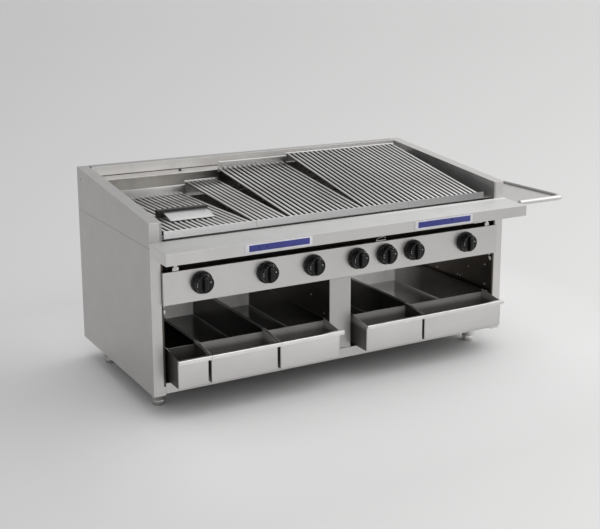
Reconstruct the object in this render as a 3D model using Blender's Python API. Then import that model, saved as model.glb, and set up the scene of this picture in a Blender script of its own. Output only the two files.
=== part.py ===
# Counter-top gas charbroiler: sheet-metal cabinet on four short legs, seven
# tube burners under steel radiants, five rod grates at different tilts, seven
# gas valves with knobs, five slide-out water pans, a front plate shelf and a
# side shelf.  Metres, +Z up, the cook stands on the -Y side.
#
# Layout numbers are in the cabinet's own coordinates: X from the left outer
# face, Y from the front face of the corner posts (backwards), Z from the
# counter.  Every piece is shifted by SHIFT, so that the origin lies at the
# centre of the footprint of the whole object, on the counter.

import math

import bmesh
import bpy
from mathutils import Vector

# ---------------------------------------------------------- shared dimensions
# Pairs are (low, high) along the axis in their name.
WIDTH = 1.2192
DEPTH = 0.6000
BODY_Z = 0.0640                # underside of the cabinet, top of the legs
SEAM_Z = 0.4875                # joint between side panels and upper sides
FRONT_TOP_Z = 0.5580           # upper side wall, front top
BACK_TOP_Z = 0.6225            # upper side wall and back rail, rear top
SHEET = 0.0020                 # sheet thickness
GAP = 0.0003                   # running gap between neighbouring pieces
OVERCUT = 0.0100               # how far cutters reach past what they cut
POST = 0.0360                  # corner post width
UPPER_SIDE = 0.0370            # width of the double upper side walls
INNER_X = (UPPER_SIDE + GAP, WIDTH - UPPER_SIDE - GAP)   # between upper sides

RAIL_Z = (0.0685, 0.0990)      # front bottom rail
RAIL_DEPTH = 0.0180
COLUMN_X = (0.5660, 0.6400)    # centre column between the two pan bays
LINER_BACK = 0.5450            # rear end of the bay linings

PANEL_Y = -0.0120              # front face of the control panel
SHELF_Y = -0.1140              # front face of the front shelf
SIDE_SHELF_X = 1.3940          # outer edge line of the side shelf
BEAD_R = 0.0080                # rounded bead around the side shelf
NAMEPLATE_T = 0.0012

BAR_Z = (0.5086, 0.5291)       # bar in front of the grates
FIREBOX_Y = 0.0400             # front wall of the firebox
FIREBOX_BOTTOM = 0.3400
LADDER_Y = 0.5645              # rear wall of the firebox
# grate ledges on the rear wall: front edge Y, underside Z, top Z
LEDGE_HIGH = (0.4970, 0.5880, 0.5905)
LEDGE_LOW = (0.4860, 0.5145, 0.5170)
RADIANT_LEDGE_Z = 0.4250

VALVE_X = (0.1452, 0.3490, 0.5022, 0.6550, 0.7575, 0.8580, 1.0610)
VALVE_Z = 0.3785
VALVE_BODY_R = 0.0120
STEM_R = 0.0040
BURNER_R = 0.0190

PIPE_R = 0.01335               # three-quarter inch gas pipe
PIPE_Y = 0.0180
PIPE_Z = VALVE_Z - VALVE_BODY_R - GAP - PIPE_R
INLET_X = WIDTH - 0.0190       # the length of pipe that runs to the rear

RIGHT_END = SIDE_SHELF_X + BEAD_R
FRONT_END = SHELF_Y - GAP - NAMEPLATE_T
REAR_END = DEPTH + 0.0150      # end of the gas inlet pipe
SHIFT = Vector((-RIGHT_END / 2.0, -(FRONT_END + REAR_END) / 2.0, 0.0))

for old in list(bpy.data.objects):
    bpy.data.objects.remove(old, do_unlink=True)


# ------------------------------------------------------------------ materials
LOOKS = {  # base colour, roughness, metallic
    "panel": ((0.45, 0.44, 0.43), 0.36, 1.0),
    "inner": ((0.30, 0.29, 0.28), 0.45, 1.0),
    "rod": ((0.42, 0.41, 0.40), 0.40, 1.0),
    "bar": ((0.60, 0.60, 0.60), 0.28, 1.0),
    "pan": ((0.50, 0.49, 0.48), 0.32, 1.0),
    "cast": ((0.06, 0.06, 0.06), 0.80, 0.6),
    "knob": ((0.012, 0.012, 0.013), 0.30, 0.0),
    "brass": ((0.62, 0.45, 0.20), 0.35, 1.0),
    "plate": ((0.02, 0.04, 0.20), 0.30, 0.2),
    "leg": ((0.40, 0.40, 0.40), 0.35, 1.0),
}


def make_material(name, look):
    colour, roughness, metallic = LOOKS[look]
    result = bpy.data.materials.new(name)
    result.use_nodes = True
    inputs = result.node_tree.nodes["Principled BSDF"].inputs
    inputs["Base Color"].default_value = (*colour, 1.0)
    inputs["Roughness"].default_value = roughness
    inputs["Metallic"].default_value = metallic
    result.diffuse_color = (*colour, 1.0)
    return result


# ------------------------------------------------------------- mesh functions
# Each builder returns a bmesh in cabinet coordinates.
def blocks(solids, cuts=()):
    """Closed mesh of the union of boxes minus other boxes.  A box is
    (x0, x1, y0, y1, z0, z1); faces lie on the boxes' own planes."""
    boxes = list(solids) + list(cuts)
    planes = [sorted({round(value, 6) for box in boxes
                      for value in box[axis * 2:axis * 2 + 2]})
              for axis in range(3)]
    middles = [[(low + high) / 2 for low, high in zip(values, values[1:])]
               for values in planes]

    def inside(x, y, z, group):
        return any(box[0] < x < box[1] and box[2] < y < box[3] and box[4] < z < box[5]
                   for box in group)

    # cells of the grid of planes, in sorted order
    filled = {}
    for i, x in enumerate(middles[0]):
        for j, y in enumerate(middles[1]):
            for k, z in enumerate(middles[2]):
                if inside(x, y, z, solids) and not inside(x, y, z, cuts):
                    filled[(i, j, k)] = True
    shape = bmesh.new()
    corners = {}

    def corner(*key):
        if key not in corners:
            corners[key] = shape.verts.new([planes[axis][key[axis]] for axis in range(3)])
        return corners[key]

    # step to the neighbouring cell, corners of the face towards it
    sides = (
        ((-1, 0, 0), ((0, 0, 0), (0, 0, 1), (0, 1, 1), (0, 1, 0))),
        ((1, 0, 0), ((1, 0, 0), (1, 1, 0), (1, 1, 1), (1, 0, 1))),
        ((0, -1, 0), ((0, 0, 0), (1, 0, 0), (1, 0, 1), (0, 0, 1))),
        ((0, 1, 0), ((0, 1, 0), (0, 1, 1), (1, 1, 1), (1, 1, 0))),
        ((0, 0, -1), ((0, 0, 0), (0, 1, 0), (1, 1, 0), (1, 0, 0))),
        ((0, 0, 1), ((0, 0, 1), (1, 0, 1), (1, 1, 1), (0, 1, 1))),
    )
    for i, j, k in filled:
        for (di, dj, dk), ring in sides:
            if (i + di, j + dj, k + dk) not in filled:
                shape.faces.new([corner(i + a, j + b, k + c) for a, b, c in ring])
    bmesh.ops.dissolve_limit(shape, angle_limit=0.001, verts=shape.verts,
                             edges=shape.edges, use_dissolve_boundaries=False)
    return shape


def place(axis, along, u, v):
    """Point at a distance along the extrusion axis, u and v across it."""
    if axis == "X":
        return (along, u, v)
    if axis == "Y":
        return (u, along, v)
    return (u, v, along)


def face_outwards(shape):
    bmesh.ops.recalc_face_normals(shape, faces=shape.faces)
    return shape


def prism(outline, start, end, axis):
    """Outline of (u, v) points extruded along an axis."""
    shape = bmesh.new()
    low, high = [[shape.verts.new(place(axis, along, u, v)) for u, v in outline]
                 for along in (start, end)]
    shape.faces.new(low)
    shape.faces.new(high)
    for i in range(len(outline)):
        j = (i + 1) % len(outline)
        shape.faces.new((low[i], low[j], high[j], high[i]))
    return face_outwards(shape)


def folded_sheet(path, start, end, axis, thickness=SHEET):
    """Bent line with its thickness on the left-hand side, mitred at the
    folds, extruded along an axis."""
    points = [Vector(point) for point in path]
    last = len(points) - 1
    normals = []
    for here, following in zip(points, points[1:]):
        heading = (following - here).normalized()
        normals.append(Vector((-heading.y, heading.x)))
    offsets = []
    for i, point in enumerate(points):
        before = normals[max(i - 1, 0)]
        mitre = (before + normals[min(i, last - 1)]).normalized()
        offsets.append(point + mitre * (thickness / mitre.dot(before)))
    shape = bmesh.new()
    (p0, q0), (p1, q1) = [
        [[shape.verts.new(place(axis, along, *point)) for point in line]
         for line in (points, offsets)]
        for along in (start, end)]
    for i in range(last):
        shape.faces.new((p0[i], p0[i + 1], q0[i + 1], q0[i]))
        shape.faces.new((p1[i], q1[i], q1[i + 1], p1[i + 1]))
        shape.faces.new((p0[i], p1[i], p1[i + 1], p0[i + 1]))
        shape.faces.new((q0[i], q0[i + 1], q1[i + 1], q1[i]))
    shape.faces.new((p0[0], q0[0], q1[0], p1[0]))
    shape.faces.new((p0[last], p1[last], q1[last], q0[last]))
    return face_outwards(shape)


def circle_angle(k, segments):
    return 2 * math.pi * (k + 0.5) / segments


def lathe(profile, segments, axis, centre):
    """Solid of revolution.  profile is a list of (radius, distance along the
    axis) that starts and ends on the axis."""
    shape = bmesh.new()
    rings = []
    for radius, along in profile:
        if radius == 0:
            rings.append([shape.verts.new(place(axis, along, *centre))])
        else:
            rings.append([shape.verts.new(place(
                axis, along,
                centre[0] + radius * math.cos(circle_angle(k, segments)),
                centre[1] + radius * math.sin(circle_angle(k, segments))))
                for k in range(segments)])
    for a, b in zip(rings, rings[1:]):
        for k in range(segments):
            j = (k + 1) % segments
            if len(a) == 1:
                shape.faces.new((a[0], b[k], b[j]))
            elif len(b) == 1:
                shape.faces.new((a[k], b[0], a[j]))
            else:
                shape.faces.new((a[k], b[k], b[j], a[j]))
    return face_outwards(shape)


def tube(path, radius, segments):
    """Solid round bar along a path, with flat ends and mitred bends."""
    points = [Vector(point) for point in path]
    last = len(points) - 1
    headings = [(b - a).normalized() for a, b in zip(points, points[1:])]
    side = headings[0].orthogonal().normalized()
    up = headings[0].cross(side).normalized()
    shape = bmesh.new()
    rings = []
    for i, point in enumerate(points):
        heading = headings[max(i - 1, 0)]
        is_bend = 0 < i < last
        cut = (heading + headings[i]).normalized() if is_bend else heading
        ring = []
        for k in range(segments):
            angle = circle_angle(k, segments)
            rim = point + (side * math.cos(angle) + up * math.sin(angle)) * radius
            slide = (point - rim).dot(cut) / heading.dot(cut)
            ring.append(shape.verts.new(rim + heading * slide))
        rings.append(ring)
        if is_bend:
            turn = heading.rotation_difference(headings[i])
            side = turn @ side
            up = turn @ up
    for a, b in zip(rings, rings[1:]):
        for k in range(segments):
            j = (k + 1) % segments
            shape.faces.new((a[k], a[j], b[j], b[k]))
    shape.faces.new(rings[0])
    shape.faces.new(rings[-1])
    return face_outwards(shape)


def combine(first, second, operation):
    """Boolean of two closed meshes; both are used up."""
    pair = []
    for shape in (first, second):
        mesh = bpy.data.meshes.new("work")
        shape.to_mesh(mesh)
        shape.free()
        obj = bpy.data.objects.new("work", mesh)
        bpy.context.scene.collection.objects.link(obj)
        pair.append(obj)
    modifier = pair[0].modifiers.new("cut", "BOOLEAN")
    modifier.operation = operation
    modifier.solver = "EXACT"
    modifier.object = pair[1]
    bpy.context.view_layer.update()
    graph = bpy.context.evaluated_depsgraph_get()
    mesh = bpy.data.meshes.new_from_object(pair[0].evaluated_get(graph))
    result = bmesh.new()
    result.from_mesh(mesh)
    for obj in pair:
        work_mesh = obj.data
        bpy.data.objects.remove(obj, do_unlink=True)
        bpy.data.meshes.remove(work_mesh)
    bpy.data.meshes.remove(mesh)
    bmesh.ops.remove_doubles(result, verts=result.verts, dist=0.00001)
    return result


def drill(shape, centre, radius, y0, y1, segments):
    """Round hole along Y; centre is (x, z)."""
    cutter = lathe(((0, y0), (radius, y0), (radius, y1), (0, y1)), segments, "Y", centre)
    return combine(shape, cutter, "DIFFERENCE")


def add_piece(name, shape, look, origin=(0.0, 0.0, 0.0), tilt=0.0, local=False,
              smooth=False):
    """One named piece.  origin is in cabinet coordinates; local says that the
    mesh is already drawn about it."""
    origin = Vector(origin)
    if not local:
        bmesh.ops.translate(shape, verts=shape.verts, vec=-origin)
    mesh = bpy.data.meshes.new(name)
    shape.to_mesh(mesh)
    shape.free()
    if smooth:
        mesh.shade_smooth()
        mesh.set_sharp_from_angle(angle=math.radians(35))
    mesh.materials.append(make_material(name + "_finish", look))
    obj = bpy.data.objects.new(name, mesh)
    obj.location = origin + SHIFT
    obj.rotation_euler = (tilt, 0.0, 0.0)
    bpy.context.scene.collection.objects.link(obj)


# ---------------------------------------------------- cabinet sides and back
PIPE_SLOT_Y = (PIPE_Y - 0.0152, PIPE_Y + 0.0200)   # slot in the right lining
PIPE_SLOT_HALF_Z = 0.0155
PIPE_HOLE_CLEARANCE = 0.0015
BACK_RAIL_BOTTOM = 0.5600


def side_panel(name, x_outer, inward, pipe_slot):
    """Outer skin, corner post and bay lining folded from one sheet.  inward
    is +1 or -1, the X direction towards the middle of the cabinet."""
    def span(near, far):
        return sorted((x_outer + inward * near, x_outer + inward * far))

    top = SEAM_Z - GAP
    solids = [
        (*span(0, SHEET), 0, DEPTH, BODY_Z, top),
        (*span(0, POST), 0, SHEET, BODY_Z, top),
        (*span(POST - SHEET, POST), 0, LINER_BACK, RAIL_Z[1] + 0.001, top),
    ]
    cuts = []
    if pipe_slot:
        cuts.append((*span(POST - 2 * SHEET, POST + SHEET), *PIPE_SLOT_Y,
                     PIPE_Z - PIPE_SLOT_HALF_Z, PIPE_Z + PIPE_SLOT_HALF_Z))
    add_piece(name, blocks(solids, cuts), "panel")


def upper_side(name, x0, x1):
    """Double-skinned upper side with a sloped top, open underneath."""
    rise = (BACK_TOP_Z - FRONT_TOP_Z) / DEPTH * SHEET
    top_sheet = SHEET * 1.01   # thickness of the sloped top, taken vertically
    outer = prism(((0, SEAM_Z), (DEPTH, SEAM_Z), (DEPTH, BACK_TOP_Z), (0, FRONT_TOP_Z)),
                  x0, x1, "X")
    core = prism(((SHEET, SEAM_Z - OVERCUT),
                  (DEPTH - SHEET, SEAM_Z - OVERCUT),
                  (DEPTH - SHEET, BACK_TOP_Z - rise - top_sheet),
                  (SHEET, FRONT_TOP_Z + rise - top_sheet)),
                 x0 + SHEET, x1 - SHEET, "X")
    add_piece(name, combine(outer, core, "DIFFERENCE"), "panel")


def back_panel():
    """Back sheet with its top folded forward and down as the back rail; the
    rail runs between the upper sides, the sheet below almost full width."""
    rail_y = LADDER_Y + SHEET + GAP
    shape = blocks([
        (SHEET + GAP, WIDTH - SHEET - GAP, DEPTH - SHEET, DEPTH, BODY_Z, SEAM_Z - GAP),
        (*INNER_X, DEPTH - SHEET, DEPTH, SEAM_Z - 0.002, BACK_TOP_Z),
        (*INNER_X, rail_y, DEPTH, BACK_TOP_Z - SHEET, BACK_TOP_Z),
        (*INNER_X, rail_y, rail_y + SHEET, BACK_RAIL_BOTTOM, BACK_TOP_Z),
    ])
    shape = drill(shape, (INLET_X, PIPE_Z), PIPE_R + PIPE_HOLE_CLEARANCE,
                  DEPTH - 2 * OVERCUT, DEPTH + 2 * OVERCUT, 16)
    add_piece("back_panel", shape, "panel")


# ------------------------------------------------------ base, column and legs
TRAY_Z = 0.0985                # top of the base tray that carries the pans
TRAY_FLANGE = 0.0850           # inner edge of its bottom flanges, from the side
COLUMN_Z = (0.0998, 0.3300)
LEG_R = 0.0200
LEG_X = {"left": 0.0520, "right": WIDTH - 0.0470}
LEG_Y = {"front": 0.1010, "rear": 0.5010}


def base_tray():
    left, right = SHEET + GAP, WIDTH - SHEET - GAP
    path = ((WIDTH - TRAY_FLANGE, BODY_Z), (right, BODY_Z), (right, TRAY_Z),
            (left, TRAY_Z), (left, BODY_Z), (TRAY_FLANGE, BODY_Z))
    add_piece("base_tray", folded_sheet(path, RAIL_DEPTH + GAP, DEPTH - SHEET - GAP, "Y"),
              "inner")


def bottom_rail():
    span = (POST + GAP, WIDTH - POST - GAP)
    bottom, top = RAIL_Z
    add_piece("bottom_rail", blocks([
        (*span, 0, SHEET, bottom, top),
        (*span, 0, RAIL_DEPTH, top - SHEET, top),
        (*span, 0, RAIL_DEPTH, bottom, bottom + SHEET),
    ]), "panel")


def centre_column():
    left, right = COLUMN_X
    add_piece("centre_column", blocks([
        (left, right, 0, SHEET, *COLUMN_Z),
        (left, left + SHEET, 0, LINER_BACK, *COLUMN_Z),
        (right - SHEET, right, 0, LINER_BACK, *COLUMN_Z),
    ]), "panel")


def legs():
    profile = (  # radius, Z
        (0, 0), (LEG_R - 0.003, 0), (LEG_R - 0.001, 0.003), (LEG_R - 0.001, 0.016),
        (LEG_R, 0.018), (LEG_R, BODY_Z - GAP), (0, BODY_Z - GAP))
    for row, y in LEG_Y.items():
        for side, x in LEG_X.items():
            add_piece("leg_%s_%s" % (row, side), lathe(profile, 14, "Z", (x, y)),
                      "leg", origin=(x, y, 0), smooth=True)


# -------------------------------------------------------------- firebox walls
TOP_FLANGE_Y = 0.0090          # front edge of the front wall's top flange
BURNER_HOLE_R = 0.0163
FRONT_LEDGE_Y = FIREBOX_Y + 0.0200        # rear edge of the front radiant ledge
REAR_RADIANT_LEDGE = 0.0250    # depths of the two lower ledges at the rear
REAR_BURNER_LEDGE = 0.0300


def firebox_front():
    top = BAR_Z[0] - GAP
    wall = blocks([
        (*INNER_X, FIREBOX_Y, FIREBOX_Y + SHEET, FIREBOX_BOTTOM, top),
        (*INNER_X, TOP_FLANGE_Y, FIREBOX_Y, top - SHEET, top),
        (*INNER_X, FIREBOX_Y + SHEET, FRONT_LEDGE_Y, RADIANT_LEDGE_Z - SHEET,
         RADIANT_LEDGE_Z),
    ])
    for x in VALVE_X:
        wall = drill(wall, (x, VALVE_Z), BURNER_HOLE_R, FIREBOX_Y - OVERCUT,
                     FIREBOX_Y + SHEET + OVERCUT, 12)
    add_piece("firebox_front", wall, "inner")


def rear_ladder():
    """Rear wall with ledges for the grates, the radiants and the burners."""
    burner_ledge_z = VALVE_Z - BURNER_R - GAP
    ledges = [(y, LADDER_Y, bottom, top) for y, bottom, top in (
        LEDGE_HIGH, LEDGE_LOW,
        (LADDER_Y - REAR_RADIANT_LEDGE, RADIANT_LEDGE_Z - SHEET, RADIANT_LEDGE_Z),
        (LADDER_Y - REAR_BURNER_LEDGE, burner_ledge_z - SHEET, burner_ledge_z))]
    wall = (LADDER_Y, LADDER_Y + SHEET, FIREBOX_BOTTOM, LEDGE_HIGH[2])
    add_piece("rear_ladder", blocks([(*INNER_X, *box) for box in [wall] + ledges]),
              "inner")


# ---------------------------------------- front: shelf, panel, bar, nameplates
SHELF_Z = (0.4650, 0.5041)     # bottom, top at the posts
SHELF_DROP = 0.0053            # fall of its top towards the front
SHELF_LIP = 0.0200             # inward lip along the front bottom edge
LIP_INSET = 0.0010             # the lip starts inside the skin
PANEL_X = (0.0315, WIDTH - 0.0315)
PANEL_Z = (0.3265, 0.4190)
STEM_HOLE_R = 0.0070
BAR_X = (0.0440, 1.1415)
BAR_Y = (0.0035, 0.0075)
BAR_LEDGE_Y = 0.0340           # rear edge of its foot
BAR_LEDGE_Z = 0.5112           # top of its foot
BAR_SEAMS = (0.3256, 0.8480)   # joints between its three lengths
SEAM_HALF = 0.0003
NAMEPLATES = {"nameplate_left": (0.2297, 0.4395), "nameplate_right": (0.7902, 1.0045)}
NAMEPLATE_Z = (0.4700, 0.4955)


def front_shelf():
    """Box open underneath, with a lip folded inward at the front."""
    bottom, top = SHELF_Z
    front_top = top - SHELF_DROP
    outer = prism(((SHELF_Y, bottom), (-GAP, bottom), (-GAP, top), (SHELF_Y, front_top)),
                  0, WIDTH, "X")
    core = prism(((SHELF_Y + SHEET, bottom - OVERCUT), (-GAP - SHEET, bottom - OVERCUT),
                  (-GAP - SHEET, top - SHEET), (SHELF_Y + SHEET, front_top - SHEET)),
                 SHEET, WIDTH - SHEET, "X")
    shape = combine(outer, core, "DIFFERENCE")
    lip_front, lip_back = SHELF_Y + LIP_INSET, SHELF_Y + SHELF_LIP
    lip = prism(((lip_front, bottom), (lip_back, bottom),
                 (lip_back, bottom + SHEET), (lip_front, bottom + SHEET)),
                LIP_INSET, WIDTH - LIP_INSET, "X")
    add_piece("front_shelf", combine(shape, lip, "UNION"), "panel")


def control_panel():
    left, right = PANEL_X
    bottom, top = PANEL_Z
    panel = blocks([
        (left, right, PANEL_Y, PANEL_Y + SHEET, bottom, top),
        (left, right, PANEL_Y, -GAP, bottom, bottom + SHEET),
        (left, right, PANEL_Y, -GAP, top - SHEET, top),
        (left, left + SHEET, PANEL_Y, -GAP, bottom, top),
        (right - SHEET, right, PANEL_Y, -GAP, bottom, top),
    ])
    for x in VALVE_X:
        panel = drill(panel, (x, VALVE_Z), STEM_HOLE_R, PANEL_Y - OVERCUT,
                      PANEL_Y + OVERCUT, 12)
    add_piece("control_panel", panel, "panel")


def front_grate_bar():
    """Angle bar; the seams part its upright but not its foot."""
    seams = [(x - SEAM_HALF, x + SEAM_HALF, BAR_Y[0] - OVERCUT, BAR_Y[1],
              BAR_LEDGE_Z, BAR_Z[1] + OVERCUT) for x in BAR_SEAMS]
    add_piece("front_grate_bar", blocks(
        [(*BAR_X, *BAR_Y, *BAR_Z),
         (*BAR_X, BAR_Y[0], BAR_LEDGE_Y, BAR_Z[0], BAR_LEDGE_Z)], seams), "bar")


def nameplates():
    for name, span in NAMEPLATES.items():
        add_piece(name, blocks([(*span, FRONT_END, SHELF_Y - GAP, *NAMEPLATE_Z)]), "plate")


# ----------------------------------------------------------------- side shelf
SIDE_SHELF_Y = (-0.0795, 0.4000)
SIDE_SHELF_Z = (0.4990, 0.5010)
SIDE_FLANGE_Y = SIDE_SHELF_Y[0] + 0.0900  # front end of the flange on the cabinet
SIDE_FLANGE_BOTTOM = 0.4400
BEAD_CORNER = 0.0100           # cut across the bead's two outer corners
GUSSET_Y = (0.0600, 0.3300)
GUSSET_T = 0.0025
GUSSET_BOTTOM = 0.4450
GUSSET_FOOT = 0.0120           # its lower end, out from the cabinet
GUSSET_REACH = 0.1300
GUSSET_TIP = 0.0060            # height of its outer end below the plate
OVERLAP = 0.0005               # gusset's bite into the plate


def side_shelf():
    inner = WIDTH + GAP
    front, back = SIDE_SHELF_Y
    bottom, top = SIDE_SHELF_Z
    shape = blocks([
        (inner, SIDE_SHELF_X, front, back, bottom, top),
        (inner, inner + SHEET, SIDE_FLANGE_Y, back, SIDE_FLANGE_BOTTOM, top),
    ])
    bead_start = inner + 0.0002
    bead_z = (bottom + top) / 2
    bead_path = [(x, y, bead_z) for x, y in (
        (bead_start, front),
        (SIDE_SHELF_X - BEAD_CORNER, front),
        (SIDE_SHELF_X, front + BEAD_CORNER),
        (SIDE_SHELF_X, back - BEAD_CORNER),
        (SIDE_SHELF_X - BEAD_CORNER, back),
        (bead_start, back))]
    shape = combine(shape, tube(bead_path, BEAD_R, 10), "UNION")
    root = inner + 0.0010      # inside the flange
    for y in GUSSET_Y:
        gusset = prism(((root, bottom + OVERLAP), (root, GUSSET_BOTTOM),
                        (inner + GUSSET_FOOT, GUSSET_BOTTOM),
                        (inner + GUSSET_REACH, bottom - GUSSET_TIP),
                        (inner + GUSSET_REACH, bottom + OVERLAP)),
                       y, y + GUSSET_T, "Y")
        shape = combine(shape, gusset, "UNION")
    add_piece("side_shelf", shape, "panel")


# --------------------------------------------- gas train, burners, radiants
PIPE_START_X = 0.0600
PIPE_BEND_R = 0.0200
PIPE_BEND_STEPS = 4

VALVE_PROFILE = (  # radius, Y
    (0, -0.0380), (STEM_R, -0.0380), (STEM_R, -0.0080), (0.0075, -0.0080),
    (0.0075, -0.0020), (VALVE_BODY_R, 0.0010), (VALVE_BODY_R, 0.0290),
    (0.0070, 0.0310), (0.0050, 0.0385), (0, 0.0385))

BURNER_Y = (0.0345, 0.5480)
BURNER_PROFILE = (  # radius, Y; starts at the bottom of the open mouth
    (0, 0.0560), (0.0110, 0.0560), (0.0130, BURNER_Y[0]),
    (0.0155, BURNER_Y[0]), (0.0155, 0.0600), (0.0135, 0.0850),
    (BURNER_R, 0.1250), (BURNER_R, BURNER_Y[1]), (0, BURNER_Y[1]))

RADIANT_HALF = 0.0450
RADIANT_FLAT = 0.0060          # width of each foot, half width of the ridge
RADIANT_Z = (RADIANT_LEDGE_Z + GAP, 0.4700)
RADIANT_Y = (0.0460, 0.5600)
RADIANT_T = 0.0025


def gas_manifold():
    """Pipe under the valves that turns back along the right-hand side."""
    path = [(PIPE_START_X, PIPE_Y, PIPE_Z)]
    for k in range(PIPE_BEND_STEPS + 1):
        angle = math.pi / 2 * k / PIPE_BEND_STEPS
        path.append((INLET_X - PIPE_BEND_R + PIPE_BEND_R * math.sin(angle),
                     PIPE_Y + PIPE_BEND_R - PIPE_BEND_R * math.cos(angle), PIPE_Z))
    path.append((INLET_X, REAR_END, PIPE_Z))
    add_piece("gas_manifold", tube(path, PIPE_R, 14), "cast", smooth=True)


def valve(number, x):
    add_piece("valve_%d" % number, lathe(VALVE_PROFILE, 10, "Y", (x, VALVE_Z)),
              "brass", origin=(x, 0, VALVE_Z), smooth=True)


def burner(number, x):
    add_piece("burner_%d" % number, lathe(BURNER_PROFILE, 12, "Y", (x, VALVE_Z)),
              "cast", origin=(x, 0, VALVE_Z), smooth=True)


def radiant(number, x):
    """Roof-shaped sheet over a burner."""
    foot, ridge = RADIANT_Z
    path = ((x - RADIANT_HALF, foot), (x - RADIANT_HALF + RADIANT_FLAT, foot),
            (x - RADIANT_FLAT, ridge), (x + RADIANT_FLAT, ridge),
            (x + RADIANT_HALF - RADIANT_FLAT, foot), (x + RADIANT_HALF, foot))
    add_piece("radiant_%d" % number, folded_sheet(path, *RADIANT_Y, "Y", RADIANT_T),
              "cast", origin=(x, 0, foot))


# ---------------------------------------------------------------------- knobs
KNOB_R = 0.0322
KNOB_CHAMFER = 0.0020
KNOB_BODY_R = (0.0285, 0.0270)  # at the skirt and at the face
KNOB_BACK = -0.0140            # Y stations, from the panel forwards
KNOB_SKIRT = -0.0205
KNOB_FACE = -0.0385
KNOB_GRIP = -0.0490
GRIP_ROOT = 0.0040             # how far the grip bar reaches behind the face
GRIP_HALF_X = 0.0060
GRIP_HALF_Z = 0.0240
BORE_END = -0.0386             # the stem bore ends inside the grip bar
BORE_CLEARANCE = 0.0004


def knob(number, x):
    centre = (x, VALVE_Z)
    body = lathe(
        ((0, KNOB_BACK), (KNOB_R, KNOB_BACK), (KNOB_R, KNOB_SKIRT + KNOB_CHAMFER),
         (KNOB_R - KNOB_CHAMFER, KNOB_SKIRT), (KNOB_BODY_R[0], KNOB_SKIRT),
         (KNOB_BODY_R[1], KNOB_FACE), (0, KNOB_FACE)), 16, "Y", centre)
    grip = blocks([(x - GRIP_HALF_X, x + GRIP_HALF_X, KNOB_GRIP, KNOB_FACE + GRIP_ROOT,
                    VALVE_Z - GRIP_HALF_Z, VALVE_Z + GRIP_HALF_Z)])
    shape = drill(combine(body, grip, "UNION"), centre, STEM_R + BORE_CLEARANCE,
                  BORE_END, KNOB_BACK + OVERCUT, 16)
    add_piece("knob_%d" % number, shape, "knob", origin=(x, KNOB_BACK, VALVE_Z),
              smooth=True)


# ----------------------------------------------------------------- water pans
PANS = (  # name, face left and right, lip left and right
    ("pan_1", 0.0480, 0.1390, 0.0465, 0.1472),
    ("pan_2", 0.1477, 0.3560, 0.1480, 0.3645),
    ("pan_3", 0.3650, 0.5645, 0.3653, 0.5755),
    ("pan_4", 0.6590, 0.8640, 0.6575, 0.8715),
    ("pan_5", 0.8720, 1.1710, 0.8720, 1.1800),
)
PAN_Y = (-0.0611, 0.5430)
PAN_STEP_Y = 0.0080            # where the low front trough ends
PAN_BASE = 0.0996
PAN_RIM = 0.1820               # top of the front face and front trough
PAN_SIDE = 0.1950              # top of the side and rear walls
PAN_BAFFLE_Y = 0.0300
PAN_BAFFLE_TOP = 0.1865
PAN_T = 0.0015
PAN_HEM = 0.0034               # outward hem along the top of the side walls
LIP_Y = -0.0700
LIP_BACK = PAN_Y[0] - 0.0004   # rear of the overhanging ends of the lip
LIP_Z = 0.1700


def water_pan(name, x0, x1, lip_x0, lip_x1):
    y0, y1 = PAN_Y
    solids = [
        (x0, x1, y0, y1, PAN_BASE, PAN_BASE + PAN_T),
        (x0, x1, y0, y0 + PAN_T, PAN_BASE, PAN_RIM),
        (max(x0, lip_x0), x1, LIP_Y, y0 + PAN_T, LIP_Z, PAN_RIM),
        (lip_x0, lip_x1, LIP_Y, LIP_BACK, LIP_Z, PAN_RIM),
        (x0, x1, y1 - PAN_T, y1, PAN_BASE, PAN_SIDE),
        (x0, x1, PAN_BAFFLE_Y, PAN_BAFFLE_Y + PAN_T, PAN_BASE, PAN_BAFFLE_TOP),
    ]
    for wall in ((x0, x0 + PAN_T), (x1 - PAN_T, x1)):
        solids.append((*wall, y0, PAN_STEP_Y, PAN_BASE, PAN_RIM))
        solids.append((*wall, PAN_STEP_Y, y1, PAN_BASE, PAN_SIDE))
    hems = [(x0 - PAN_HEM, x0)]
    # no right hem where it would run into the centre column
    if x1 + PAN_HEM < COLUMN_X[0] or x0 > COLUMN_X[1]:
        hems.append((x1, x1 + PAN_HEM))
    for hem in hems:
        solids.append((*hem, PAN_STEP_Y, y1, PAN_SIDE - PAN_T, PAN_SIDE))
    add_piece(name, blocks(solids), "pan", origin=((x0 + x1) / 2, y0, PAN_BASE))


# ----------------------------------------------------------------- rod grates
ROD = 0.0095
ROD_HALF = ROD / 2
ROD_FRONT = -0.0090            # front ends of the rods, from the tilt axis
GRATE_AXIS = (0.0185, 0.5241)  # Y and Z of the tilt axis, near the rods' front ends
GRATES = (
    # name, first rod X, pitch, rods, rod top Z at the rear, rear plate Y, rear plate
    ("grate_1", 0.0539, 0.01680, 16, 0.5265, 0.4800, "upstand_low"),
    ("grate_2", 0.3259, 0.01645, 7, 0.5630, 0.4910, "foot_low"),
    ("grate_3", 0.4470, 0.01800, 14, 0.5920, 0.4910, "upstand_high"),
    ("grate_4", 0.7005, 0.01790, 8, 0.6220, 0.4965, "foot_high"),
    ("grate_5", 0.8452, 0.01835, 16, 0.6220, 0.4965, "foot_high"),
)
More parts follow.
